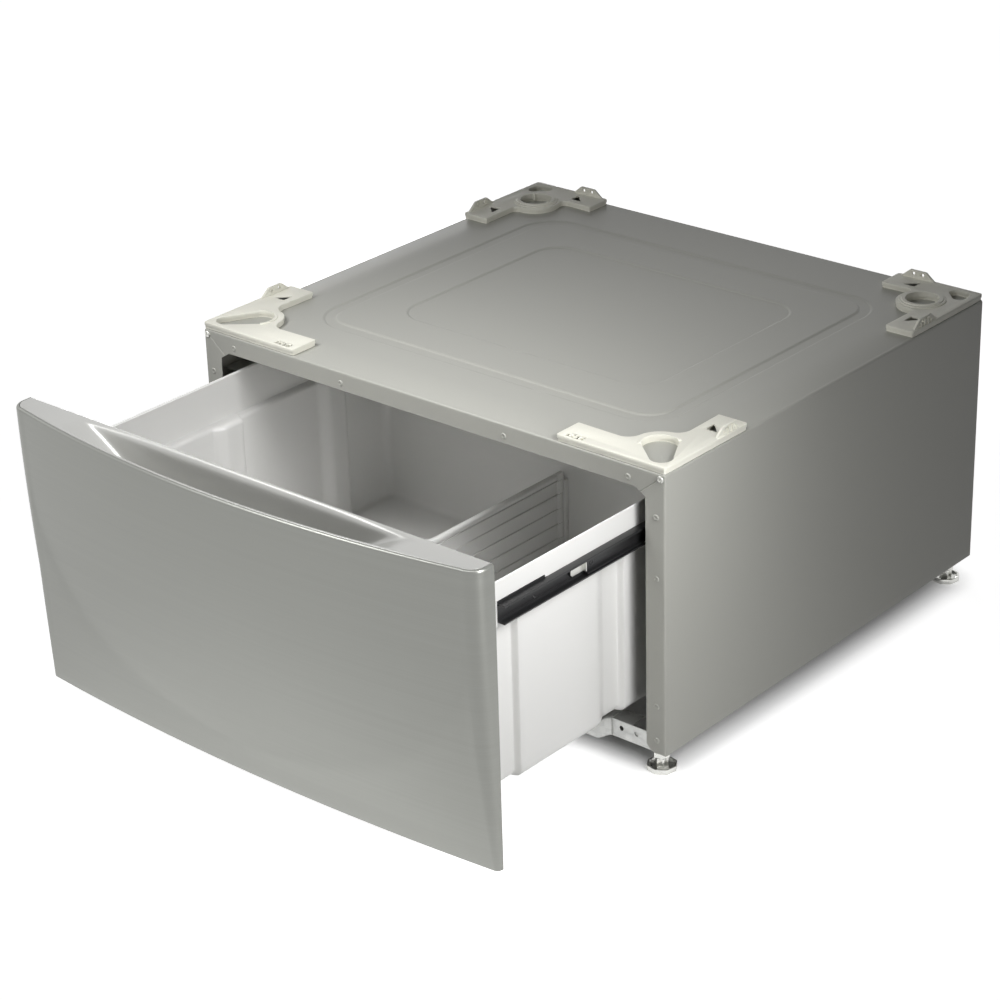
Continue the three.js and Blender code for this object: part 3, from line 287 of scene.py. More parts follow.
def painted(name, colour, cloud, speck, roughness, grain, **shader):
    """A cloudy look. Clouds and specks are (scale, share), roughness a range over the clouds, and
    grain the (strength, depth in metres) of a fine relief."""
    look, tree, surface, where = new_look(name, **shader)
    values = {"Cloud_Scale": cloud[0], "Cloud": cloud[1], "Speck_Scale": speck[0], "Speck": speck[1]}
    tone = toned(tree, where, colour, **values)
    tree.links.new(tone.outputs[0], surface.inputs["Base Color"])
    tree.links.new(spread(tree, tone.outputs["Tone"], *roughness), surface.inputs["Roughness"])
    rough_skin(tree, surface, tone.outputs["Grain"], *grain)
    return look


casing_paint = painted(
    "silver_casing_paint", (0.42, 0.42, 0.386), (4, 0.035), (2400, 0.05), (0.33, 0.42), (0.10, 0.0003),
    Metallic=0.06, Specular_IOR_Level=0.2,
)


def top_ring(w, y0, y1, r):
    """A rounded rectangle in plan, as four sides that each run from the middle of one corner to
    the middle of the next: an eighth turn, a straight run and an eighth turn."""
    turn_in = np.linspace(np.pi / 4, 0, CORNER_STEPS + 1)[:-1]
    turn_out = np.linspace(0, np.pi / 4, CORNER_STEPS + 1)[1:-1]
    along = np.linspace(0, 1, STRAIGHT_STEPS)[:, None]
    centres = np.array([[-w + r, y0 + r], [w - r, y0 + r], [w - r, y1 - r], [-w + r, y1 - r]])
    out = []
    for k in range(4):
        a, b = centres[k], centres[(k + 1) % 4]
        way = np.array([[1, 0], [0, 1], [-1, 0], [0, -1]][k], float)
        away = np.array([way[1], -way[0]])
        out.append(a + r * (np.cos(turn_in)[:, None] * away - np.sin(turn_in)[:, None] * way))
        out.append((a + (b - a) * along) + r * away)
        out.append(b + r * (np.cos(turn_out)[:, None] * away + np.sin(turn_out)[:, None] * way))
    return np.concatenate(out)


SIDE_STEPS = 2 * CORNER_STEPS + STRAIGHT_STEPS - 1
groove_ring = top_ring(*GROOVE)
outer_ring = groove_ring.copy()
for k in range(4):
    side = np.take(groove_ring, np.arange(k * SIDE_STEPS, (k + 1) * SIDE_STEPS + 1), axis=0, mode="wrap")
    axis = k % 2
    lo, hi = side[0, axis], side[-1, axis]
    ends = [(-HALF + FOLD, HALF - FOLD), (EDGE, DEEP), (HALF - FOLD, -HALF + FOLD), (DEEP, EDGE)][k]
    run = ends[0] + (side[:-1, axis] - lo) / (hi - lo) * (ends[1] - ends[0])
    flat = [EDGE, HALF - FOLD, DEEP, -HALF + FOLD][k]
    rows = slice(k * SIDE_STEPS, (k + 1) * SIDE_STEPS)
    outer_ring[rows, axis] = run
    outer_ring[rows, 1 - axis] = flat
soft_step = lambda t: np.clip(t, 0, 1) ** 2 * (3 - 2 * np.clip(t, 0, 1))
rings = [(outer_ring, 0.0), (outer_ring * 0.4 + groove_ring * 0.6, 0.0)]
inwards = np.array([-1, 1, -1, -1])
slope = (-3.0, -1.6, -1, -0.4, 0.2, 0.8, 1.4, 2.0, 2.6)
for e in (*slope, 5, 8, 11, 13.4, 14, 14.6, 15.2, 15.8, 16.4, 17, 19):
    sunk = BEAD * (soft_step((e + 1.6) / 3.6) - soft_step((e - 13.4) / 3.6))
    rings.append((top_ring(*(GROOVE + e * inwards)), -sunk))
rings.append((top_ring(215, 140, 494, 34), 0.0))
for e in (*slope, 6, 18, 30):
    rings.append((top_ring(*(PANEL + e * inwards)), -BEAD * soft_step((e + 1.6) / 3.6)))
centre = np.array([0, 317.5])
for shrink in (0.6, 0.2, 0.0):
    rings.append((centre + (top_ring(160, 198, 437, 6) - centre) * shrink, -BEAD))
top_sheet = sheet(storeys([(plan, HIGH + z) for plan, z in rings]), closed=True, flipped=True)

# side sheets: down from the top's fold to the lower fold and its lip
fold_angles = np.linspace(0, np.pi / 2, 9)
side_z = np.array([2.0, 10, 30, 60, 110, 160, 210, 260, 300, 308, 314, 320, 326, 332])
low_turn = np.linspace(-np.pi / 2, 0, 5)[:-1]
side_path = np.concatenate(
    [
        [[HALF - LIP, 0.0]],
        np.column_stack([HALF - 2 + 2 * np.cos(low_turn), 2 + 2 * np.sin(low_turn)]),
        np.column_stack([np.full(len(side_z), HALF), side_z]),
        np.column_stack([HALF - FOLD + FOLD * np.cos(fold_angles), HIGH - FOLD + FOLD * np.sin(fold_angles)]),
    ]
)
side_y = np.append(outer_ring[SIDE_STEPS : 2 * SIDE_STEPS, 1], DEEP)
across, along = np.meshgrid(np.arange(len(side_path)), side_y)
side_points = np.stack([side_path[across, 0], along, side_path[across, 1]], -1)
side_sheet = sheet(side_points, flipped=True)
mirror = lambda shape: (np.asarray(shape[0]) * [-1, 1, 1], [list(f)[::-1] for f in shape[1]])

# front fold and flange, along the casing's outline from the right foot to the left
top_x = outer_ring[:SIDE_STEPS][::-1, 0]
rim = np.concatenate([side_path[5:], np.column_stack([top_x[:-1], np.full(len(top_x) - 1, HIGH)])])
rim_out = np.concatenate(
    [
        np.tile([1.0, 0.0], (len(side_z), 1)),
        np.column_stack([np.cos(fold_angles), np.sin(fold_angles)]),
        np.tile([0.0, 1.0], (len(top_x) - 1, 1)),
    ]
)
keep = rim[:, 0] > 1e-6
half_rim, half_out = rim[keep], rim_out[keep]
gusset_a, gusset_b = np.array(GUSSET)
gusset_mid = (gusset_a + gusset_b) / 2
gusset_way = (gusset_b - gusset_a) / np.linalg.norm(gusset_b - gusset_a)
gusset_half = np.linalg.norm(gusset_b - gusset_a) / 2
seam = np.array([-MITRE_GAP, -1.2, -0.75, -0.35, 0, 0.35, 0.75, 1.2, MITRE_GAP])
gusset_run = gusset_half - MITRE_GAP
inner = np.empty_like(half_rim)
count = len(side_z)
for i, (x, z) in enumerate(half_rim):
    if i < count:
        spot = (z - gusset_a[1]) / (HIGH - FOLD - gusset_a[1])
        straight, way = (INNER_X, z) if spot < 0 else None, -gusset_half + spot * gusset_run
    elif i < count + len(seam):
        straight, way = None, seam[i - count]
    else:
        spot = (HALF - FOLD - x) / (HALF - FOLD - gusset_b[0])
        straight, way = (x, INNER_Z) if spot > 1 else None, MITRE_GAP + spot * gusset_run
    inner[i] = straight or gusset_mid + gusset_way * way
inner[0] = (INNER_X + 7, 2.0)
flange_rows = []
for t in (1.0, 0.8, 0.6, 0.4, 0.2, 0.1, 0.0):
    line = (half_rim - half_out * EDGE) * (1 - t) + inner * t
    dip = np.zeros(len(line))
    corner = slice(count, count + len(seam))
    spine = line[count + len(seam) // 2]
    line[corner] = spine + gusset_way * seam[:, None] * min(1, max(t, 0.08) / 0.2)
    dip[corner] = 0.7 * np.exp(-((seam / 0.55) ** 2)) * (1 if t > 0.05 else 0)
    flange_rows.append(np.column_stack([line[:, 0], dip, line[:, 1]]))
for a in np.linspace(0, np.pi / 2, 6):
    line = half_rim - half_out * EDGE * (1 - math.sin(a))
    back = np.full(len(line), EDGE * (1 - math.cos(a)))
    flange_rows.append(np.column_stack([line[:, 0], back, line[:, 1]]))
flange = np.stack(flange_rows)
middle = flange[:, -1:].copy()
middle[:, :, 0] = 0
flange = np.concatenate([flange, middle], 1)
flange_sheet = sheet(flange, flipped=True)
skin = together(top_sheet, side_sheet, mirror(side_sheet), flange_sheet, mirror(flange_sheet))


def block(lo, hi, soft=0.25):
    """A plain bar with its long edges eased: a rectangle with cut corners in x and z, drawn in a
    little at both ends."""
    (x0, y0, z0), (x1, y1, z1) = lo, hi
    s = min(soft, (x1 - x0) / 3, (z1 - z0) / 3, (y1 - y0) / 3)

    def section(y, e):
        a, b, c, d = x0 + e, x1 - e, z0 + e, z1 - e
        edge = [(a + s, c), (b - s, c), (b, c + s), (b, d - s)]
        edge += [(b - s, d), (a + s, d), (a, d - s), (a, c + s)]
        return [(x, y, z) for x, z in edge]

    points = np.array([section(y0, s), section(y0 + s, 0), section(y1 - s, 0), section(y1, s)])
    return points.reshape(-1, 3), tube(4, 8)


LIP_FRONT, LIP_REAR = 615.3, 616.3
lips = [block((s * 337 - 5.7, LIP_FRONT, 1), (s * 337 + 5.7, LIP_REAR, HIGH - 1)) for s in (-1, 1)]
lips.append(block((-HALF + 2, LIP_FRONT, HIGH - LIP), (HALF - 2, LIP_REAR, HIGH - 0.6)))
casing_shape = together(walled((skin[0], np.array(skin[1])), SHEET), *lips)
place("casing", casing_shape, "cabinet", "casing", casing_paint, ["cabinet_wrapper"], crease=40)


def square_to(axis):
    """An axis and two directions square to it and to each other."""
    axis = np.asarray(axis, float)
    side = np.cross(axis, [0, 0, 1] if abs(axis[2]) < 0.5 else [0, 1, 0])
    side /= np.linalg.norm(side)
    return axis, side, np.cross(axis, side)


def turned(profile, at, axis, sides=28, corners=0, phase=0.0):
    """A turned body: each (radius, height) of the profile goes round the axis through at. With
    corners the radius follows a polygon: r cos(pi/n) / cos(angle from the middle of its side)."""
    profile = np.asarray(profile, float)
    angle = np.linspace(0, 2 * np.pi, sides, endpoint=False)
    factor = np.ones(sides)
    if corners:
        off = (angle + np.pi / corners) % (2 * np.pi / corners) - np.pi / corners
        factor = math.cos(np.pi / corners) / np.cos(np.pi / corners - np.abs(off))
    axis, side, other = square_to(axis)
    ray = np.cos(angle + phase)[:, None] * side + np.sin(angle + phase)[:, None] * other
    radius, height = profile[:, None, 0:1], profile[:, None, 1:2]
    points = np.asarray(at, float) + height * axis + radius * (ray * factor[:, None])[None]
    return points.reshape(-1, 3), grid(len(profile), sides, closed=True)


# clinch marks: small round presses that join the flange to the frame behind it
marks = [(x, 325.5) for x in (-294, -122, 122, 294)]
marks += [(s * 331, z) for s in (-1, 1) for z in (288, 216, 60, 18)]
MARK = [(0, 0.9), (0, -0.35), (1.0, -0.4), (1.8, -0.75), (2.5, -0.95)]
MARK += [(3.2, -0.7), (3.7, -0.1), (3.9, 0.2), (3.9, 0.9), (0, 0.9)]
mark_shape = together(*[turned(MARK, (x, 0, z), (0, 1, 0), 20) for x, z in marks])
place("clinch_marks", mark_shape, "cabinet", "casing", casing_paint)


# ---- Corner screws -------------------------------------------------------
# A domed cross-head screw at each upper corner of the flange holds the mitre shut.
# Bright zinc-plated steel, driven from the front.

SCREW_RINGS, SCREW_SPOKES = 15, 48
SIDES = (("left", -1), ("right", 1))


def pan_head(at, axis, r, height, recess=0.55):
    """A domed head with a cross recess. Over rings and spokes the height is that of a flattened
    dome, h(1 - 0.45 (q/r)^3), less a cross-shaped pit whose arms fade out at recess times r."""
    q = np.linspace(0, 1, SCREW_RINGS - 3)[:, None] * 0.93
    angle = np.linspace(0, 2 * np.pi, SCREW_SPOKES, endpoint=False)[None, :]
    u, v = q * np.cos(angle), q * np.sin(angle)
    arm = np.minimum(np.abs(u), np.abs(v))
    pit = soft_step((0.2 - arm) / 0.1) * soft_step((recess - q) / 0.14)
    lift = height * (1 - 0.45 * q**3) - 0.62 * height * pit
    rim = np.array([[0.985, 0.46], [1.0, 0.3], [1.0, -0.35]])
    q = np.concatenate([np.broadcast_to(q, lift.shape), np.broadcast_to(rim[:, :1], (3, SCREW_SPOKES))])
    lift = np.concatenate([lift, np.broadcast_to(rim[:, 1:] * height, (3, SCREW_SPOKES))])
    axis, side, other = square_to(axis)
    ray = np.cos(angle)[..., None] * side + np.sin(angle)[..., None] * other
    points = np.asarray(at, float) + r * q[..., None] * ray + lift[..., None] * axis
    last = SCREW_RINGS * SCREW_SPOKES
    faces = grid(SCREW_RINGS, SCREW_SPOKES, closed=True).tolist()
    return points.reshape(-1, 3), faces + [list(range(last - SCREW_SPOKES, last))]


bright_zinc = painted(
    "bright_zinc", (0.66, 0.66, 0.63), (60, 0.16), (1800, 0.12), (0.16, 0.42), (0.15, 0.0002), Metallic=1.0
)
for side, s in SIDES:
    head = pan_head((s * 337, -0.2, 334), (0, -1, 0), 4.0, 1.9)
    place(f"corner_screw_{side}", head, "cabinet", "zinc", bright_zinc, [f"mitre_screw_{side}"])

# ---- Back ----------------------------------------------------------------
# A galvanised sheet with two pressed ribs closes the back. Four hexagon-headed screws fix it to
# the casing's rear lips.

galvanised, tree, surface, where = new_look("galvanised_sheet", Metallic=0.85)
spangle = node(tree, "TexVoronoi", None, Vector=where, Scale=120.0, Randomness=1.0)
tone = toned(tree, where, (0.50, 0.505, 0.49), Cloud_Scale=14.0, Cloud=0.08, Speck_Scale=1500.0, Speck=0.10)
grey = spread(tree, spangle.outputs["Color"], 0.88, 1.1)
tree.links.new(scaled(tree, tone.outputs[0], grey), surface.inputs["Base Color"])
tree.links.new(spread(tree, spangle.outputs["Distance"], 0.30, 0.52), surface.inputs["Roughness"])
rough_skin(tree, surface, tone.outputs["Grain"], 0.15, 0.0003)


def dressed(names, look, ease):
    """Frame nodes that keep their shape: a material, and edges eased by some millimetres."""
    for name in names:
        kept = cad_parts[name]
        for slot in kept.material_slots:
            slot.material = look
        kept.modifiers.new("weld", "WELD").merge_threshold = 1e-5
        if ease:
            eased = kept.modifiers.new("ease", "BEVEL")
            eased.width = ease / 1000
            eased.segments = 2
            eased.limit_method = "ANGLE"
            eased.angle_limit = math.radians(50)


dressed(["back_panel"], galvanised, 0.3)
HEX_HEAD = [(0, 2.0, 9), (3.4, 2.0, 3.5), (4.6, 1.45, 4.6), (4.6, 0.4, 4.6)]
HEX_HEAD += [(5.4, 0.3, 5.0), (5.4, -0.2, 5.0), (0, -0.2, 9)]


def hexagon(profile, at, axis, phase=0.0, corners=6, sides=48):
    """A polygonal turned body whose third column is a round limit to its radius, as a chamfer is."""
    flat = np.asarray(profile, float)
    shaped, faces = turned(flat[:, :2], at, axis, sides, corners, phase)
    off = shaped - np.asarray(at, float)
    ray = off - (off @ np.asarray(axis, float))[:, None] * np.asarray(axis, float)
    reach = np.linalg.norm(ray, axis=1)
    cap = np.repeat(flat[:, 2], sides)
    shrink = np.minimum(1, cap / np.maximum(reach, 1e-6))
    return shaped - ray * (1 - shrink)[:, None], faces


for i, (x, z) in enumerate([(-337, 60), (337, 60), (-337, 280), (337, 280)]):
    head = hexagon(HEX_HEAD, (x, 618.0, z), (0, 1, 0))
    place(f"back_hex_screw_{i + 1}", head, "cabinet", "zinc", bright_zinc, [f"back_screw_{i + 1}"])

# ---- Cross rails ---------------------------------------------------------
# A folded channel runs across the front under the drawer. Near its ends it rises in an S to flat
# ears with two holes, which lie behind the casing's flanges. The rear one is plain.


def filleted(points, radius, steps=5, closed=True):
    """A polygon with its corners rounded: the tangent points lie r tan(half the turn) from the
    corner, and the arc between them is a quadratic curve through the corner's handle."""
    points = np.asarray(points, float)
    radius = np.broadcast_to(np.asarray(radius, float), (len(points),))
    out = []
    for i, p in enumerate(points):
        if not closed and i in (0, len(points) - 1) or radius[i] <= 0:
            out.append(p[None])
            continue
        a, b = points[i - 1] - p, points[(i + 1) % len(points)] - p
        la, lb = np.linalg.norm(a), np.linalg.norm(b)
        turn = np.pi - math.acos(np.clip(a @ b / la / lb, -1, 1))
        reach = min(radius[i] * math.tan(turn / 2), 0.49 * la, 0.49 * lb)
        t = np.linspace(0, 1, steps + 1)[:, None]
        bow = 2 * t * (1 - t) * math.cos(turn / 2)
        whole = (1 - t) ** 2 + bow + t**2
        out.append(((1 - t) ** 2 * (p + a / la * reach) + bow * p + t**2 * (p + b / lb * reach)) / whole)
    return np.concatenate(out)


def slab(loops, profile):
    """A plate from closed outlines. Each goes up the profile of (inset, height), inset along the
    mitre of its two edges into the material; the first is its edge and the others are its holes."""
    profile = np.asarray(profile, float)
    points, faces, count, ends = [], [], 0, ([], [])
    for i, loop in enumerate(loops):
        loop = np.asarray(loop, float)
        ahead = np.roll(loop, -1, 0)
        area = (loop[:, 0] * ahead[:, 1] - ahead[:, 0] * loop[:, 1]).sum()
        if (area > 0) == (i > 0):
            loop = loop[::-1]
        way = np.roll(loop, -1, 0) - loop
        way /= np.maximum(np.linalg.norm(way, axis=1, keepdims=True), 1e-9)
        away = np.stack([-way[:, 1], way[:, 0]], 1)
        back = np.roll(away, 1, 0)
        mitre = (away + back) / np.maximum(1 + (away * back).sum(1, keepdims=True), 0.3)
        plan = loop[None] + profile[:, :1, None] * mitre[None]
        height = np.broadcast_to(profile[:, 1:2, None], (*plan.shape[:2], 1))
        points.append(np.concatenate([plan, height], 2).reshape(-1, 3))
        faces += (grid(len(profile), len(loop), closed=True) + count).tolist()
        for k, row in ((0, 0), (1, len(profile) - 1)):
            ends[k].append((plan[row], count + row * len(loop)))
        count += len(loop) * len(profile)
    for k in (0, 1):
        index = np.concatenate([start + np.arange(len(p)) for p, start in ends[k]])
        outlines = [[(x, y, 0.0) for x, y in p] for p, _ in ends[k]]
        faces += [[int(index[i]) for i in face] for face in tessellate_polygon(outlines)]
    return np.concatenate(points), faces


def round_hole(x, y, r, steps=24):
    """A circle as an outline."""
    a = np.linspace(0, 2 * np.pi, steps, endpoint=False)
    return np.column_stack([x + r * np.cos(a), y + r * np.sin(a)])


def rim_profile(low, high, ease=0.4):
    """The edge of a flat plate, eased at both faces."""
    foot = [(ease, low), (0.3 * ease, low + 0.3 * ease), (0, low + ease)]
    return foot + [(0, high - ease), (0.3 * ease, high - 0.3 * ease), (ease, high)]


RAIL_END = 268.0
rail_turn = np.linspace(RAIL_END - 1, RAIL_END - 24, 14)
rail_x = np.concatenate([[-RAIL_END], -rail_turn, np.linspace(-236, 236, 9), rail_turn[::-1], [RAIL_END]])
rail_drop = 11 * soft_step((RAIL_END - np.abs(rail_x)) / 24)
rail_path = filleted([(25.3, 2), (1.3, 2), (1.3, 24), (25.3, 24)], 2.2, closed=False)
across, back = np.broadcast_arrays(rail_x[:, None], rail_path[:, 0])
rail = np.stack([across, back, rail_path[None, :, 1] - rail_drop[:, None]], -1)
rail_shape = walled(sheet(rail), 1.2)
ears = []
for s in (-1, 1):
    edge = filleted([(s * 266.5, 2), (s * 332, 2), (s * 332, 24), (s * 266.5, 24)], (0.2, 4, 4, 0.2))
    holes = [round_hole(s * 281, 15, 3), round_hole(s * 302, 15, 3)]
    face, sides_of = slab([edge, *holes], rim_profile(0, 1.2, 0.2))
    ears.append((face[:, [0, 2, 1]] + [0, 1.3, 0], sides_of))
    a, b = sorted((s * 267, s * 295))
    ears += [block((a, 2.2, z), (b, 25.3, z + 1.2)) for z in (2, 22.8)]
place("front_rail", together(rail_shape, *ears), "cabinet", "steel", galvanised, ["front_cross_rail"])
dressed(["rear_cross_rail"], galvanised, 0.4)

# ---- Corner plates -------------------------------------------------------
# Cream moulded plates lie on the casing's corners and locate the feet of the machine on top. Each
# has an opening inside a raised ring, upright tabs with two eyes, and snaps into the casing.

plate_plastic = painted(
    "cream_plastic", (0.84, 0.83, 0.74), (30, 0.035), (1400, 0.05), (0.42, 0.58), (0.2, 0.00025),
    Specular_IOR_Level=0.4,
)

PLATE_LOW, PLATE_TOP = 340.3, 348.3
HOLLOW_TOP = 346.4
FOOT_EDGE = [(1.1, PLATE_LOW), (0.8, PLATE_LOW + 0.3), (0.8, 343.5)]
FOOT_EDGE += [(0.1, 343.9), (0, 344.2), (0, HOLLOW_TOP)]
SKIN_EDGE = [(0, HOLLOW_TOP - 0.02), (0, 347.6), (0.25, 348.1), (0.8, PLATE_TOP)]


def rectangle(u0, u1, v0, v1):
    """The corners of a rectangle, counter-clockwise."""
    return [(u0, v0), (u1, v0), (u1, v1), (u0, v1)]


def arc(u, v, r, start, end, steps=14):
    """Points of an arc between two angles in degrees."""
    a = np.radians(np.linspace(start, end, steps))
    return np.column_stack([u + r * np.cos(a), v + r * np.sin(a)])


def plate_outline(end_arm, side_arm, arm, ring_u, ring_v, r, ease):
    """Two arms in distances in from the casing's side and end. Between them the edge leaves each
    arm on a fillet that touches both the arm's straight edge and a circle round the ring."""
    cu = ring_u + math.sqrt((r + ease) ** 2 - (arm + ease - ring_v) ** 2)
    cv = ring_v + math.sqrt((r + ease) ** 2 - (arm + ease - ring_u) ** 2)
    low = math.degrees(math.atan2(arm + ease - ring_v, cu - ring_u))
    high = math.degrees(math.atan2(cv - ring_v, arm + ease - ring_u))
    corner = [(arm, side_arm), (0, side_arm), (0, 0), (end_arm, 0), (end_arm, arm)]
    corner = filleted(corner, (3.5, 3.5, 3, 3.5, 3.5), 4)
    turn = [
        arc(cu, arm + ease, ease, 270, 180 + low, 9),
        arc(ring_u, ring_v, r, low, high, 13)[1:-1],
        arc(arm + ease, cv, ease, 180 + high, 180 + 0.001, 9) if high > 0 else [],
    ]
    return np.concatenate([corner, *turn])


def tab_parts(width, top_width, height, square):
    """An upright tab in its own plane with two eyes."""
    w, t = width / 2, top_width / 2
    edge = filleted([(-w, -2), (w, -2), (w, 0.4), (t, height), (-t, height), (-w, 0.4)], (0, 0, 1, 3, 3, 1))
    if square:
        eyes = [filleted(rectangle(d - 2, d + 2, 3.6, 7.4), 0.7) for d in (-6.5, 6.5)]
    else:
        eyes = [round_hole(d, 5.5, 2.1, 16) for d in (-6.5, 6.5)]
    return slab([edge, *eyes], rim_profile(0, 3, 0.35))


def corner_plate(s, rear):
    """One plate: a flat skin over a hollow foot, raised ring, tabs with ribs, and snap hooks. The
    skin's slots open into wider hollows, which look dark from above."""

    def put(spots, turned_over=False):
        u, v = np.asarray(spots, float).T[:: -1 if turned_over else 1]
        return np.column_stack([s * (HALF - u), DEEP - v if rear else v])

    end_arm, side_arm, arm, ring_u, ring_v = (118, 151, 37, 46, 60) if rear else (147, 147, 38, 43, 48)
    ring_x, ring_y = put([(ring_u, ring_v)])[0]
    outlines = [put(plate_outline(end_arm, side_arm, arm, ring_u, ring_v, 31.5, 7 if rear else 17))]
    slots, hollows, shapes = [], [], []
    if rear:
        outlines.append(put(filleted([(8, 8), (46, 8), (8, 46)], (11, 9, 9), 8)))
        outlines.append(put(round_hole(ring_u, ring_v, 20, 44)))
        collar = [(20, 346), (20, 350.7), (20.6, 351.3), (24.4, 351.3), (24.8, 350.9), (25.1, 349.9)]
        collar += [(27.4, 349.8), (28, 349.3), (28, 346), (20, 346)]
        shapes.append(turned(collar, (ring_x, ring_y, 0), (0, 0, 1), 56))
        wall = put([(ring_u - 14.5, ring_v - 14.5)])[0]
        shapes.append(block((wall[0] - 2.2, wall[1] - 2.2, 342), (wall[0] + 2.2, wall[1] + 2.2, 350.6), 0.6))
    else:
        drop = np.concatenate([arc(20, 20, 13, 135, 315), arc(ring_u, ring_v, 20, -45, 135, 30)])
        outlines.append(put(drop))
        ridge = [arc(ring_u, ring_v, 23.5, -38, 128, 30), arc(ring_u, ring_v, 20.1, 128, -38, 30)]
        shapes.append(slab([put(np.concatenate(ridge))], rim_profile(347, 349.3, 0.3)))
        for u in (114, 126.5):
            slots.append(put(filleted(rectangle(u, u + 10, 3.2, 12.5), 0.5, 2)))
            for u0, u1, v0, v1 in ((4.2, 5.8, 3.4, 10.0), (1.5, 8.5, 8.4, 10.0)):
                a, b = sorted((s * (HALF - u - u0), s * (HALF - u - u1)))
                shapes.append(block((a, v0, 341.5), (b, v1, 348.9), 0.3))
        hollows.append(put(filleted(rectangle(113, 139, 3, 20), 1.0, 2)))
    arms = [("side", side_arm)] + ([("end", end_arm)] if rear else [])
    for kind, length in arms:
        on = lambda spots: put(spots, kind == "end")
        mid = length - 30
        slots.append(on(filleted([(11, mid - 10), (28, mid - 10), (28, mid + 7)], 1.2, 3)))
        hollows.append(on(filleted(rectangle(6.5, 32, mid - 17, mid + 17), 1.5, 3)))
        flat, faces = tab_parts(46, 22, 10, kind == "end")
        rows = on(np.column_stack([2 + flat[:, 2], mid + flat[:, 0]]))
        shapes.append((np.column_stack([rows, PLATE_TOP + flat[:, 1]]), faces))
        for d in (-10.5, -3.5, 3.5, 10.5) if kind == "side" else (-15, 15):
            lo, hi = np.sort(on([(0.3, mid + d - 0.8), (2.4, mid + d + 0.8)]), axis=0)
            shapes.append(block((*lo, 347.6), (*hi, PLATE_TOP + (7.5 if abs(d) < 9 else 4.5)), 0.3))
    return together(slab(outlines + hollows, FOOT_EDGE), slab(outlines + slots, SKIN_EDGE), *shapes)


for side, s in SIDES:
    for end, rear in (("front", False), ("rear", True)):
        shape = corner_plate(s, rear)
        stands_for = [f"corner_plate_{end}_{side}"]
        place(f"locating_plate_{end}_{side}", shape, "cabinet", "plate", plate_plastic, stands_for)

# ---- Levelling feet ------------------------------------------------------
# Each foot is a dished pad and a hexagon shank on a threaded stud, bright zinc plated. A lock nut
# runs on the stud, which screws into a bushing welded to a bracket inside the casing.

PAD = [(0, -30), (16.4, -30), (17.6, -29.2), (18.2, -27.6), (18.2, -25), (17.6, -23.3)]
PAD += [(16.6, -23), (15.4, -23.4), (14.4, -25.2), (12, -26.8), (8, -27.3), (0, -27.4)]
SHANK = [(0, -28, 9), (7.5, -28, 9), (7.5, -16.2, 9), (7.5, -15.2, 6.9), (0, -15, 9)]
NUT = [(5.2, -14.1, 9), (7.9, -14.3, 8.3), (9.8, -13.4, 9.9)]
NUT += [(9.8, -7.7, 9.9), (7.9, -6.8, 8.3), (5.2, -7.0, 9), (5.2, -14.1, 9)]


def thread(x, y, low, high, radius, pitch=1.5, depth=0.75, sides=20):
    """A threaded stud: the radius falls by depth times a triangle wave of height over pitch less
    angle over a full turn, so its crests wind upwards."""
    z = np.arange(low, high, pitch / 6)[:, None]
    a = np.linspace(0, 2 * np.pi, sides, endpoint=False)[None, :]
    wave = np.abs(((z / pitch - a / (2 * np.pi)) % 1) * 2 - 1)
    r = radius - depth * wave
    points = np.stack([x + r * np.cos(a), y + r * np.sin(a), z + 0 * a], -1).reshape(-1, 3)
    return points, tube(len(z), sides)


for side, s in SIDES:
    for end, y in (("front", 21), ("rear", 599)):
        x = s * 322
        pad = hexagon([(r, z, 17.4 if r > 12 else 30) for r, z in PAD], (x, y, 0), (0, 0, 1), 0.2, 8)
        shank = hexagon(SHANK, (x, y, 0), (0, 0, 1), 0.35)
        stud = thread(x, y, -16, 36, 5)
        foot, lock = f"foot_{end}_{side}", f"lock_nut_{end}_{side}"
        place(f"levelling_{foot}", together(pad, shank, stud), foot, "zinc", bright_zinc, [foot])
        nut = hexagon(NUT, (x, y, 0), (0, 0, 1), 0.1)
        place(f"foot_{lock}", nut, lock, "zinc", bright_zinc, [lock])
        dressed([f"foot_bracket_{end}_{side}"], galvanised, 0.4)


# ---- Door ----------------------------------------------------------------
# The drawer's front is a skin of brushed stainless steel, bowed across its width and leaning back
# downwards, with a hemmed upper edge. A silver plastic cap with the finger recess closes its top.

DOOR_BACK = -272.0
DOOR_HALF = 342.0
DOOR_TOP, DOOR_LOW = 346.0, -6.0
DOOR_CORNER_R = 20.0


def end_depth(z):
    """Thickness of the door's ends at a height: from 30 at the top to 8 at the bottom."""
    return 30 - 22 * np.clip((DOOR_TOP - z) / (DOOR_TOP - DOOR_LOW), 0, 1) ** 1.6


def bow_depth(z):
    """How far the front bows out at mid width: from 32 at the top to 16 at the bottom."""
    return 32 - 16 * np.clip((DOOR_TOP - z) / (DOOR_TOP - DOOR_LOW), 0, 1) ** 1.6


def door_plan(z, inset):
    """The door's outline at a height, from its left rear edge round the front to its right rear
    edge: straight ends, round corners, and a parabola y = -end - bow (1 - (x/edge)^2)."""
    deep = end_depth(z)
    r0 = min(DOOR_CORNER_R, deep - 1)
    w, r = DOOR_HALF - inset, max(0.6, r0 - inset)
    corner_y = DOOR_BACK - deep + inset + r
    a = np.linspace(0, np.pi / 2, 11)[:-1]
    x = np.linspace(-(w - r), w - r, 73)
    bow = bow_depth(z) * (1 - np.minimum(1, np.abs(x) / (DOOR_HALF - r0)) ** 2)
    front = DOOR_BACK - deep - bow + inset
    left = np.column_stack([-w + r - r * np.cos(a), corner_y - r * np.sin(a)])
    ends = np.linspace(DOOR_BACK, corner_y, 4)[:-1]
    start = np.column_stack([np.full(3, -w), ends])
    half = np.concatenate([start, left])
    return np.concatenate([half, np.column_stack([x, front]), (half * [-1, 1])[::-1]])


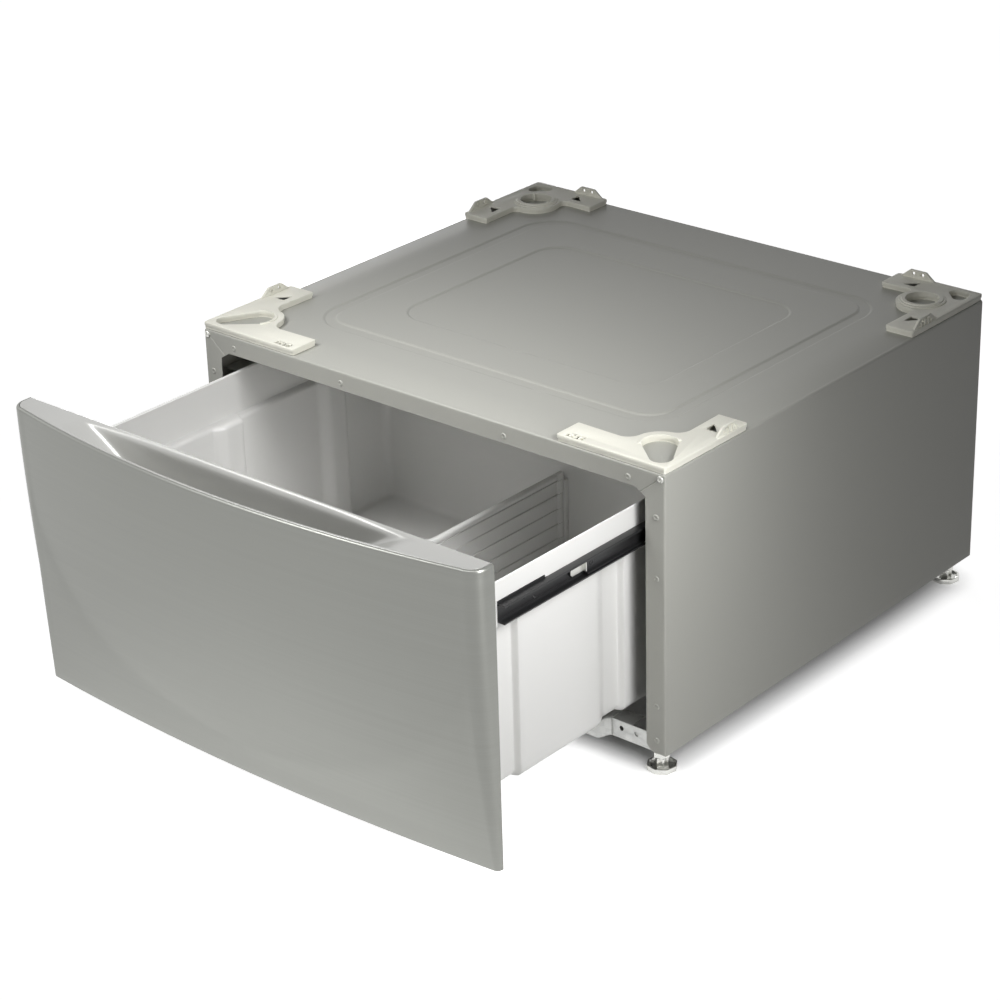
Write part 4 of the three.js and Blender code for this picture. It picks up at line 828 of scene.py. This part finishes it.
brushed_steel, tree, surface, where = new_look(
    "brushed_stainless", Metallic=1.0, Anisotropic=0.6, Anisotropic_Rotation=0.25
)
stretch = node(tree, "Mapping", None, Vector=where, Scale=(1.1, 0.0, 900.0))
lines = node(tree, "TexNoise", None, Vector=stretch.outputs[0], Scale=1.0, Detail=4.0, Roughness=0.62)
broad = node(tree, "Mapping", None, Vector=where, Scale=(2.2, 0.0, 160.0))
bands = node(tree, "TexNoise", None, Vector=broad.outputs[0], Scale=1.0, Detail=2.0)
tone = toned(tree, where, (0.275, 0.279, 0.26), Cloud_Scale=3.0, Cloud=0.03, Speck_Scale=2200.0, Speck=0.02)
shade = spread(tree, lines.outputs[0], 0.93, 1.07)
both = maths(tree, "MULTIPLY", shade, spread(tree, bands.outputs[0], 0.97, 1.03))
tree.links.new(scaled(tree, tone.outputs[0], both), surface.inputs["Base Color"])
tree.links.new(spread(tree, lines.outputs[0], 0.26, 0.40), surface.inputs["Roughness"])
rough_skin(tree, surface, lines.outputs[0], 0.06, 0.0001)
brushed_way = node(tree, "Tangent", {"direction_type": "RADIAL", "axis": "Z"})
tree.links.new(brushed_way.outputs[0], surface.inputs["Tangent"])

levels_up = np.concatenate([np.linspace(-5.0, 330, 30), [337, 341.8, 342.6]])
HEM_R = 3.2
bent = np.linspace(0.1, np.pi / 2, 10)
hem_top = [(HEM_R * (1 - math.cos(a)), DOOR_TOP - HEM_R * (1 - math.sin(a))) for a in bent]
hem_top += [(3.55, 345.85), (3.7, 345.5), (3.7, 344.0), (3.7, 338)]
HEM_LOW = [(8.0, -5.9), (1.4, -6.0), (0.7, -5.85), (0.2, -5.5)]
levels = HEM_LOW + [(0.0, z) for z in levels_up.tolist()] + hem_top
skin_shape = walled(sheet(storeys([(door_plan(z, inset), z) for inset, z in levels])), 0.7)
place("door_front", skin_shape, "drawer", "stainless", brushed_steel, ["door_skin"], crease=60)

silver_plastic = painted(
    "silver_lacquered_plastic", (0.50, 0.50, 0.48), (12, 0.03), (2600, 0.06), (0.28, 0.36), (0.08, 0.0002),
    Metallic=0.45, Coat_Weight=0.25, Coat_Roughness=0.2,
)

# the cap's section at each x: rear face, rim, recess down and up again, front lip
CAP_INSET = 4.1
cap_r = DOOR_CORNER_R - CAP_INSET
cap_edge = DOOR_HALF - DOOR_CORNER_R
cap_end = cap_edge + cap_r * np.sin(np.linspace(np.pi / 2, 0, 12)[:-1])
cap_x = np.concatenate([-cap_end, np.linspace(-cap_edge, cap_edge, 165), cap_end[::-1]])
out = np.clip(np.abs(cap_x) - cap_edge, 0, cap_r)
cap_front = np.where(
    np.abs(cap_x) > cap_edge,
    DOOR_BACK - 30 + DOOR_CORNER_R - np.sqrt(np.maximum(cap_r**2 - out**2, 0)),
    DOOR_BACK - 30 - 32 * (1 - np.minimum(1, np.abs(cap_x) / cap_edge) ** 2) + CAP_INSET,
)
sink = 58 * soft_step((254 - np.abs(cap_x)) / 150)
fit = np.clip((DOOR_BACK - cap_front - 3) / 30, 0, 1)
# each row is (distance in, height, share of the sink)
RIM = [(0, 342, 0), (0, 345.3, 0), (0.25, 345.8, 0), (0.7, DOOR_TOP, 0), (1.6, DOOR_TOP, 0)]
BEND = [(2.6, 0.006), (3.6, 0.02), (4.6, 0.045), (5.6, 0.08), (6.5, 0.13), (7.3, 0.2)]
BEND += [(8.0, 0.3), (8.8, 0.45), (9.8, 0.65), (11.2, 0.83), (13.5, 0.95), (16.5, 1.0)]
FRONT_LIP = [(12.0, 1.0), (7.0, 0.96), (5.0, 0.85), (4.2, 0.6)]
FRONT_LIP += [(3.9, 0.3), (3.6, 0.1), (3.2, 0.03), (2.5, 0.005)]
behind = RIM + [(d, DOOR_TOP, share) for d, share in BEND]
ahead = [(d, DOOR_TOP, share) for d, share in FRONT_LIP] + RIM[::-1]
cap_rows = [np.column_stack([cap_x, DOOR_BACK - d * fit, z - share * sink]) for d, z, share in behind]
cap_rows += [np.column_stack([cap_x, cap_front + d * fit, z - share * sink]) for d, z, share in ahead]
cap_shape = walled(sheet(np.stack(cap_rows), flipped=True), 2.0)
place("door_cap", cap_shape, "drawer", "trim", silver_plastic, ["door_top_cap"], crease=50)
dressed(["door_bottom_cap"], silver_plastic, 0.5)
dressed(["door_inner_panel"], galvanised, 0.4)
for i, (x, z) in enumerate([(-200, 110), (-200, 240), (200, 110), (200, 240)]):
    head = pan_head((x, -268.9, z), (0, 1, 0), 4.2, 1.5)
    place(f"door_fixing_screw_{i + 1}", head, "drawer", "zinc", bright_zinc, [f"door_screw_{i + 1}"])

# ---- Bin -----------------------------------------------------------------
# One white moulding. A flat band round the top carries the slides; the body below steps in, has
# three upright flutes in each side, and turns into its floor on a soft round.

BIN_FRONT, BIN_REAR = -271.7, 250.3
BODY_HALF, BAND_HALF = 291.0, 300.0
FOOT_ROUND = 10.0
BIN_LOW, BAND_TOP = 41.0, 293.5
BIN_WALL = 2.5
FLUTE_STARTS = [BIN_FRONT + 45 + 176 * i for i in range(3)]


def flute(y):
    """How deep a side wall is pressed in at y: three flutes of 8, soft in front, sharp behind."""
    deep = np.zeros_like(y)
    for start in FLUTE_STARTS:
        deep += soft_step((y - start) / 21) - soft_step((y - (start + 43)) / 4)
    return 8 * deep


side_run = [np.linspace(BIN_FRONT + 8, BIN_FRONT + 42, 4)]
for start in FLUTE_STARTS:
    side_run += [np.linspace(start, start + 21, 12), np.linspace(start + 28, start + 40, 3)]
    side_run += [np.linspace(start + 43, start + 47, 9), np.linspace(start + 56, start + 172, 5)]
side_run = np.concatenate(side_run)
side_run = np.append(side_run[side_run < BIN_REAR - 14], BIN_REAR - 13)


def bin_plan(half, front, rear, r_front, r_rear, inset, fluted):
    """The bin's outline in plan, counter-clockwise from its front right corner, always with the
    same number of points, so that the outlines of the body and of the band can be joined."""
    r1, r2 = max(r_front - inset, 1.0), max(r_rear - inset, 1.0)
    w, y0, y1 = half - inset, front + inset, rear - inset
    if fluted:
        run = np.clip(side_run, y0 + r1, y1 - r2)
    else:
        run = y0 + r1 + (side_run - side_run[0]) / (side_run[-1] - side_run[0]) * (y1 - r2 - y0 - r1)
    straight = np.column_stack([w - fluted * flute(side_run), run])
    a = np.linspace(0, np.pi / 2, 10)[1:-1]
    rear_turn = np.column_stack([w - r2 + r2 * np.cos(a), y1 - r2 + r2 * np.sin(a)])
    front_turn = np.column_stack([w - r1 + r1 * np.sin(a), y0 + r1 - r1 * np.cos(a)])
    across = np.linspace(1, 0, 8)[:, None]
    rear_half = np.column_stack([(w - r2) * across, np.full(8, y1)])
    front_half = np.column_stack([(w - r1) * across[::-1], np.full(8, y0)])
    right_half = np.concatenate([front_half, front_turn, straight, rear_turn, rear_half])
    left_half = (right_half * [-1, 1])[::-1]
    return np.concatenate([right_half, left_half[1:-1]])


body_plan = lambda inset: bin_plan(BODY_HALF, BIN_FRONT, BIN_REAR, 8, 13, inset, 1)
band_plan = lambda inset: bin_plan(BAND_HALF, BIN_FRONT, BIN_REAR + 6, 5, 5, inset, 0)
centre = np.array([0.0, (BIN_FRONT + BIN_REAR) / 2])
rows = [(centre + (body_plan(FOOT_ROUND) - centre) * f, BIN_LOW) for f in (0.0, 0.3, 0.7, 0.97)]
for a in np.linspace(0, np.pi / 2, 9):
    rows.append((body_plan(FOOT_ROUND * (1 - math.sin(a))), BIN_LOW + FOOT_ROUND * (1 - math.cos(a))))
rows += [(body_plan(0), z) for z in (56, 95, 140, 180, 215, 230, 235.5)]
STEP_OUT = [(0.02, 237.0), (0.1, 238.0), (0.3, 238.7), (0.6, 239.1)]
STEP_OUT += [(0.85, 239.6), (0.97, 240.4), (1.0, 241.6)]
rows += [(body_plan(0) * (1 - share) + band_plan(0) * share, z) for share, z in STEP_OUT]
rows += [(band_plan(0), z) for z in (246, 262, 280, 290.9, 292.1)]
rows += [(band_plan(0.25), 292.9), (band_plan(0.8), BAND_TOP)]
bin_shape = walled(sheet(storeys(rows), closed=True), BIN_WALL)

white_plastic = painted(
    "white_moulded_plastic", (0.77, 0.767, 0.75), (5, 0.015), (1600, 0.02), (0.28, 0.38), (0.10, 0.0002),
    Specular_IOR_Level=0.5,
)
place("storage_bin", bin_shape, "drawer", "bin", white_plastic, ["drawer_bin"], crease=50)

# ---- Divider -------------------------------------------------------------
# A white moulded plate stands between two guide channels and lifts out. Its top edge swells to a
# bead and rises in an S towards the front; thin ribs run along both faces.

Y0, Y1 = BIN_FRONT + 5.2, BIN_REAR - 5.2
LOW_TOP, HIGH_TOP = 159.0, 235.0
run = np.linspace(0, 1, 33)
rise = Y1 - 225 - 150 * run
climb = np.column_stack([rise, LOW_TOP + (HIGH_TOP - LOW_TOP) * run**2 * (3 - 2 * run)])
low_run, high_run = [[Y1, LOW_TOP], [Y1 - 112, LOW_TOP]], [[rise[-1] - 40, HIGH_TOP], [Y0, HIGH_TOP]]
crest = np.concatenate([low_run, climb, high_run])
web_edge = np.concatenate([[[Y0, 54], [Y0 + 10, 44.2], [Y1 - 10, 44.2], [Y1, 54]], crest - [0, 1.5]])
web, web_faces = slab([web_edge], rim_profile(-1.5, 1.5, 0.3))
web = web[:, [2, 0, 1]]


def beaded(path, half_w, high, shape=2.6, steps=20):
    """A bar along a path in y and z whose section is a superellipse |x/a|^n + |h/b|^n = 1, its top
    on the path: the section stands square to the path at each point."""
    way = np.gradient(path, axis=0)
    way /= np.linalg.norm(way, axis=1, keepdims=True)
    rise_way = np.stack([-way[:, 1], way[:, 0]], 1) * np.sign(-way[:, :1])
    rise_way *= np.sign(rise_way[:, 1:])
    a = np.linspace(0, 2 * np.pi, steps, endpoint=False)
    x = half_w * np.sign(np.cos(a)) * np.abs(np.cos(a)) ** (2 / shape)
    h = high / 2 * (np.sign(np.sin(a)) * np.abs(np.sin(a)) ** (2 / shape) - 1)
    plan = path[:, None] + h[None, :, None] * rise_way[:, None]
    points = np.concatenate([np.broadcast_to(x[None, :, None], (len(path), steps, 1)), plan], 2)
    return points.reshape(-1, 3), tube(len(path), steps)


bead_path = crest.copy()
bead_path[0, 0], bead_path[-1, 0] = Y1 - 13, Y0 + 13
bead = beaded(bead_path, 4.5, 7.0)
ends = [block((-3, Y0, 54), (3, Y0 + 12, HIGH_TOP), 0.8)]
ends.append(block((-3, Y1 - 12, 54), (3, Y1, LOW_TOP), 0.8))
ribs = [block((-3.6, Y0 + 3, z), (3.6, Y1 - 3, z + 1.4), 0.45) for z in (73, 92.5, 112, 131.5, 149)]
divider_shape = together((web, web_faces), bead, *ends, *ribs)
place("divider_plate", divider_shape, "divider", "bin", white_plastic, ["divider"], crease=45)
for end, wall, way, top in (("front", BIN_FRONT + BIN_WALL, 1, 226), ("rear", BIN_REAR - BIN_WALL, -1, 150)):
    bars = []
    for xa, xb, deep in ((-7.2, 7.2, 1.5), (-7.2, -4.2, 7.0), (4.2, 7.2, 7.0)):
        ya, yb = sorted((wall + way * 0.1, wall + way * deep))
        bars.append(block((xa, ya, 53.5), (xb, yb, top), 0.6))
    place(f"divider_channel_{end}", together(*bars), "drawer", "bin", white_plastic, [f"divider_guide_{end}"])

# ---- Slides --------------------------------------------------------------
# Black three-member ball slides, full extension. The drawer member is screwed to the bin's band,
# the fixed one to a bracket on the casing; a bright sprung clip stops the middle member.

SLIDE_X, SLIDE_Z = 300.3, 257.5
black_steel = painted(
    "black_slide_steel", (0.022, 0.022, 0.023), (30, 0.25), (1500, 0.3), (0.30, 0.46), (0.2, 0.0003),
    Metallic=0.35, Coat_Weight=0.15, Coat_Roughness=0.3,
)


def rolled(path, radius, y0, y1, wall):
    """A rolled strip: a path in (distance out from the bin, height) with rounded bends, carried
    along y and given its wall on the left of its travel, so the path is its outer face."""
    path = filleted(path, radius, 4, closed=False)
    stations = np.array([y0, y0 + 0.5, (y0 + y1) / 2, y1 - 0.5, y1])
    points = np.stack(np.broadcast_arrays(SLIDE_X + path[:, 0], stations[:, None], path[:, 1]), -1)
    return walled(sheet(points), wall)


def lug(y0, y1, z0, z1, d0, d1, soft=1.0):
    """A flat plate with rounded corners, standing on a member's web."""
    edge = filleted([(y0, z0), (y1, z0), (y1, z1), (y0, z1)], soft, 4)
    flat, faces = slab([edge], rim_profile(SLIDE_X + d0, SLIDE_X + d1, 0.2))
    return flat[:, [2, 0, 1]], faces


h, start = 10.7, -222.0
outer_path = [(10.2, -h + 2.2), (10.2, -h), (0, -h), (0, h), (10.2, h), (10.2, h - 2.2)]
outer_path = [(x, SLIDE_Z + z) for x, z in outer_path]
RIVET = [(0, 1.0), (1.5, 1.0), (1.5, 1.5), (2.6, 1.9), (3.3, 1.5), (3.5, 1.0), (0, 1.0)]
outer_member = together(
    rolled(outer_path, (0, 1.3, 1.0, 1.0, 1.3, 0), start, start + 450, 0.9),
    lug(start, start + 75, SLIDE_Z + h - 3, SLIDE_Z + h + 3, 0.0, 0.9, 1.0),
    lug(start + 6, start + 440, SLIDE_Z - 6.9, SLIDE_Z - 6.1, 0.8, 1.5, 0.3),
    turned([(0.6 * r, d - 0.2) for r, d in RIVET], (SLIDE_X, start + 56.4, SLIDE_Z - 4), (1, 0, 0), 24),
)
mid_path = [(8.7, SLIDE_Z - 7.4), (2.7, SLIDE_Z - 7.4), (2.7, SLIDE_Z + 7.4), (8.7, SLIDE_Z + 7.4)]
middle_member = together(
    rolled(mid_path, 1.0, -87.5, 362.5, 0.9),
    turned([(r, d + 2.5) for r, d in RIVET], (SLIDE_X, -75, SLIDE_Z), (1, 0, 0), 24),
)
fixed_path = [(6.2, SLIDE_Z + 4.1), (12.4, SLIDE_Z + 4.1), (12.4, SLIDE_Z - 4.1), (6.2, SLIDE_Z - 4.1)]
fixed_member = rolled(fixed_path, 1.0, 47, 497, 0.9)
for side, s in SIDES:
    on = (lambda shape: shape) if s > 0 else mirror
    for strip, shape, body, member in (
        ("outer", outer_member, "drawer", "drawer"),
        ("middle", middle_member, f"slide_middle_{side}", "middle"),
        ("fixed", fixed_member, "cabinet", "fixed"),
    ):
        stands_for = [f"slide_{member}_member_{side}"]
        place(f"slide_{strip}_strip_{side}", on(shape), body, "slide", black_steel, stands_for)
    for i, y in enumerate((-205, -181), 1):
        head = pan_head((s * 301.25, y, SLIDE_Z + 3), (s, 0, 0), 2.8, 1.3)
        stands_for = [f"slide_screw_{side}_{i}"]
        place(f"slide_fixing_screw_{side}_{i}", head, "drawer", "zinc", black_steel, stands_for)
    dressed([f"slide_bracket_{side}"], galvanised, 0.3)
    dressed([f"slide_stop_clip_{side}"], bright_zinc, 0.3)
    dressed([f"ball_cage_outer_{side}", f"ball_cage_inner_{side}"], bright_zinc, 0)

# ---- Room ----------------------------------------------------------------
# A pale floor, five small lamps whose beams are held in by grids, and a weak world light. Camera
# and shiny surfaces see floor and world white; the floor's glow stops at the casing's plan, which
# paints a shadow under and round it.

floor_mesh = bpy.data.meshes.new("studio_floor")
floor_mesh.from_pydata([(-30, -30, 0), (30, -30, 0), (30, 30, 0), (-30, 30, 0)], [], [(0, 1, 2, 3)])
floor = bpy.data.objects.new("studio_floor", floor_mesh)
scene.collection.objects.link(floor)
floor_look, tree, surface, where = new_look("pale_floor", Roughness=0.9, Specular_IOR_Level=0.0)
tone = toned(tree, where, (0.8, 0.8, 0.8), Cloud_Scale=0.4, Cloud=0.005, Speck_Scale=300.0, Speck=0.005)
tree.links.new(tone.outputs[0], surface.inputs["Base Color"])
surface.inputs["Emission Color"].default_value = (1, 1, 1, 1)


def seen_by(tree, hidden, shown):
    """One strength for the light that falls on things, and another for what the camera, gloss and
    glass see: a range over the largest of three of Light Path's answers."""
    path = node(tree, "LightPath")
    most = maths(tree, "MAXIMUM", path.outputs["Is Camera Ray"], path.outputs["Is Glossy Ray"])
    most = maths(tree, "MAXIMUM", most, path.outputs["Is Transmission Ray"])
    return spread(tree, most, hidden, shown)


# the glow is nought inside a rectangle under the casing and whole far off: a painted shadow, so the
# floor there stays dark beyond what the shadow alone would do
PAINTED_SHADOW_CENTRE, PAINTED_SHADOW_HALF_SIZE = (0.0, 0.167, 0.0), (0.30, 0.27, 1.0)
beside = vectors(tree, "ABSOLUTE", vectors(tree, "SUBTRACT", where, PAINTED_SHADOW_CENTRE))
past = vectors(tree, "MAXIMUM", vectors(tree, "SUBTRACT", beside, PAINTED_SHADOW_HALF_SIZE), (0.0, 0.0, 0.0))
away = node(tree, "VectorMath", {"operation": "LENGTH"}, _0=past).outputs["Value"]
# painted shadow: the floor's glow fades to nought within 7 cm of the casing's plan
glow_past_painted_shadow = spread(tree, away, 0.0, 1.0, 0.0, 0.07, "SMOOTHSTEP")
glow = maths(tree, "MULTIPLY", glow_past_painted_shadow, spread(tree, away, 0.88, 1.0, 0.15, 0.9))
glow = maths(tree, "MULTIPLY", glow, seen_by(tree, 0.0, 1.0))
tree.links.new(glow, surface.inputs["Emission Strength"])
floor_mesh.materials.append(floor_look)


def softbox(name, spot, target, wide, high, power, spread_angle):
    """A rectangular lamp at a spot, facing a target, its beam held to an angle by a grid."""
    lamp = bpy.data.lights.new(name, "AREA")
    lamp.shape = "RECTANGLE"
    lamp.size, lamp.size_y, lamp.energy = wide, high, power
    lamp.spread = math.radians(spread_angle)
    held = bpy.data.objects.new(name, lamp)
    aim = np.array(target, float) - np.array(spot, float)
    aim /= np.linalg.norm(aim)
    across = np.cross(aim, [0, 0, 1])
    across /= np.linalg.norm(across)
    turn = np.stack([across, np.cross(across, aim), -aim], 1)
    held.matrix_world = Matrix([[*row, place] for row, place in zip(turn, spot)] + [[0, 0, 0, 1]])
    held.visible_camera = False
    scene.collection.objects.link(held)


softbox("lamp_over_drawer", (1.0, -0.32, 0.95), (-0.05, -0.32, 0.22), 0.3, 0.3, 0.85, 50)
softbox("lamp_front_right", (1.1, -0.45, 0.5), (0.343, -0.15, 0.2), 0.4, 0.4, 0.72, 70)
softbox("lamp_front_left", (-0.4, -0.7, 1.2), (-0.1, -0.15, 0.36), 0.5, 0.5, 1.5, 60)
softbox("lamp_over_corner", (0.3, -0.6, 1.2), (0.15, -0.1, 0.36), 0.4, 0.4, 0.35, 60)
softbox("lamp_behind", (-1.3, 1.2, 0.2), (-0.1, 0.3, 0.17), 0.8, 0.25, 2.0, 70)
world = bpy.data.worlds.new("studio")
scene.world = world
world.use_nodes = True
tree = world.node_tree
backdrop = tree.nodes["Background"]
backdrop.inputs["Color"].default_value = (1, 1, 1, 1)
tree.links.new(seen_by(tree, 0.03, 1.0), backdrop.inputs["Strength"])
scene.view_settings.view_transform = "Standard"
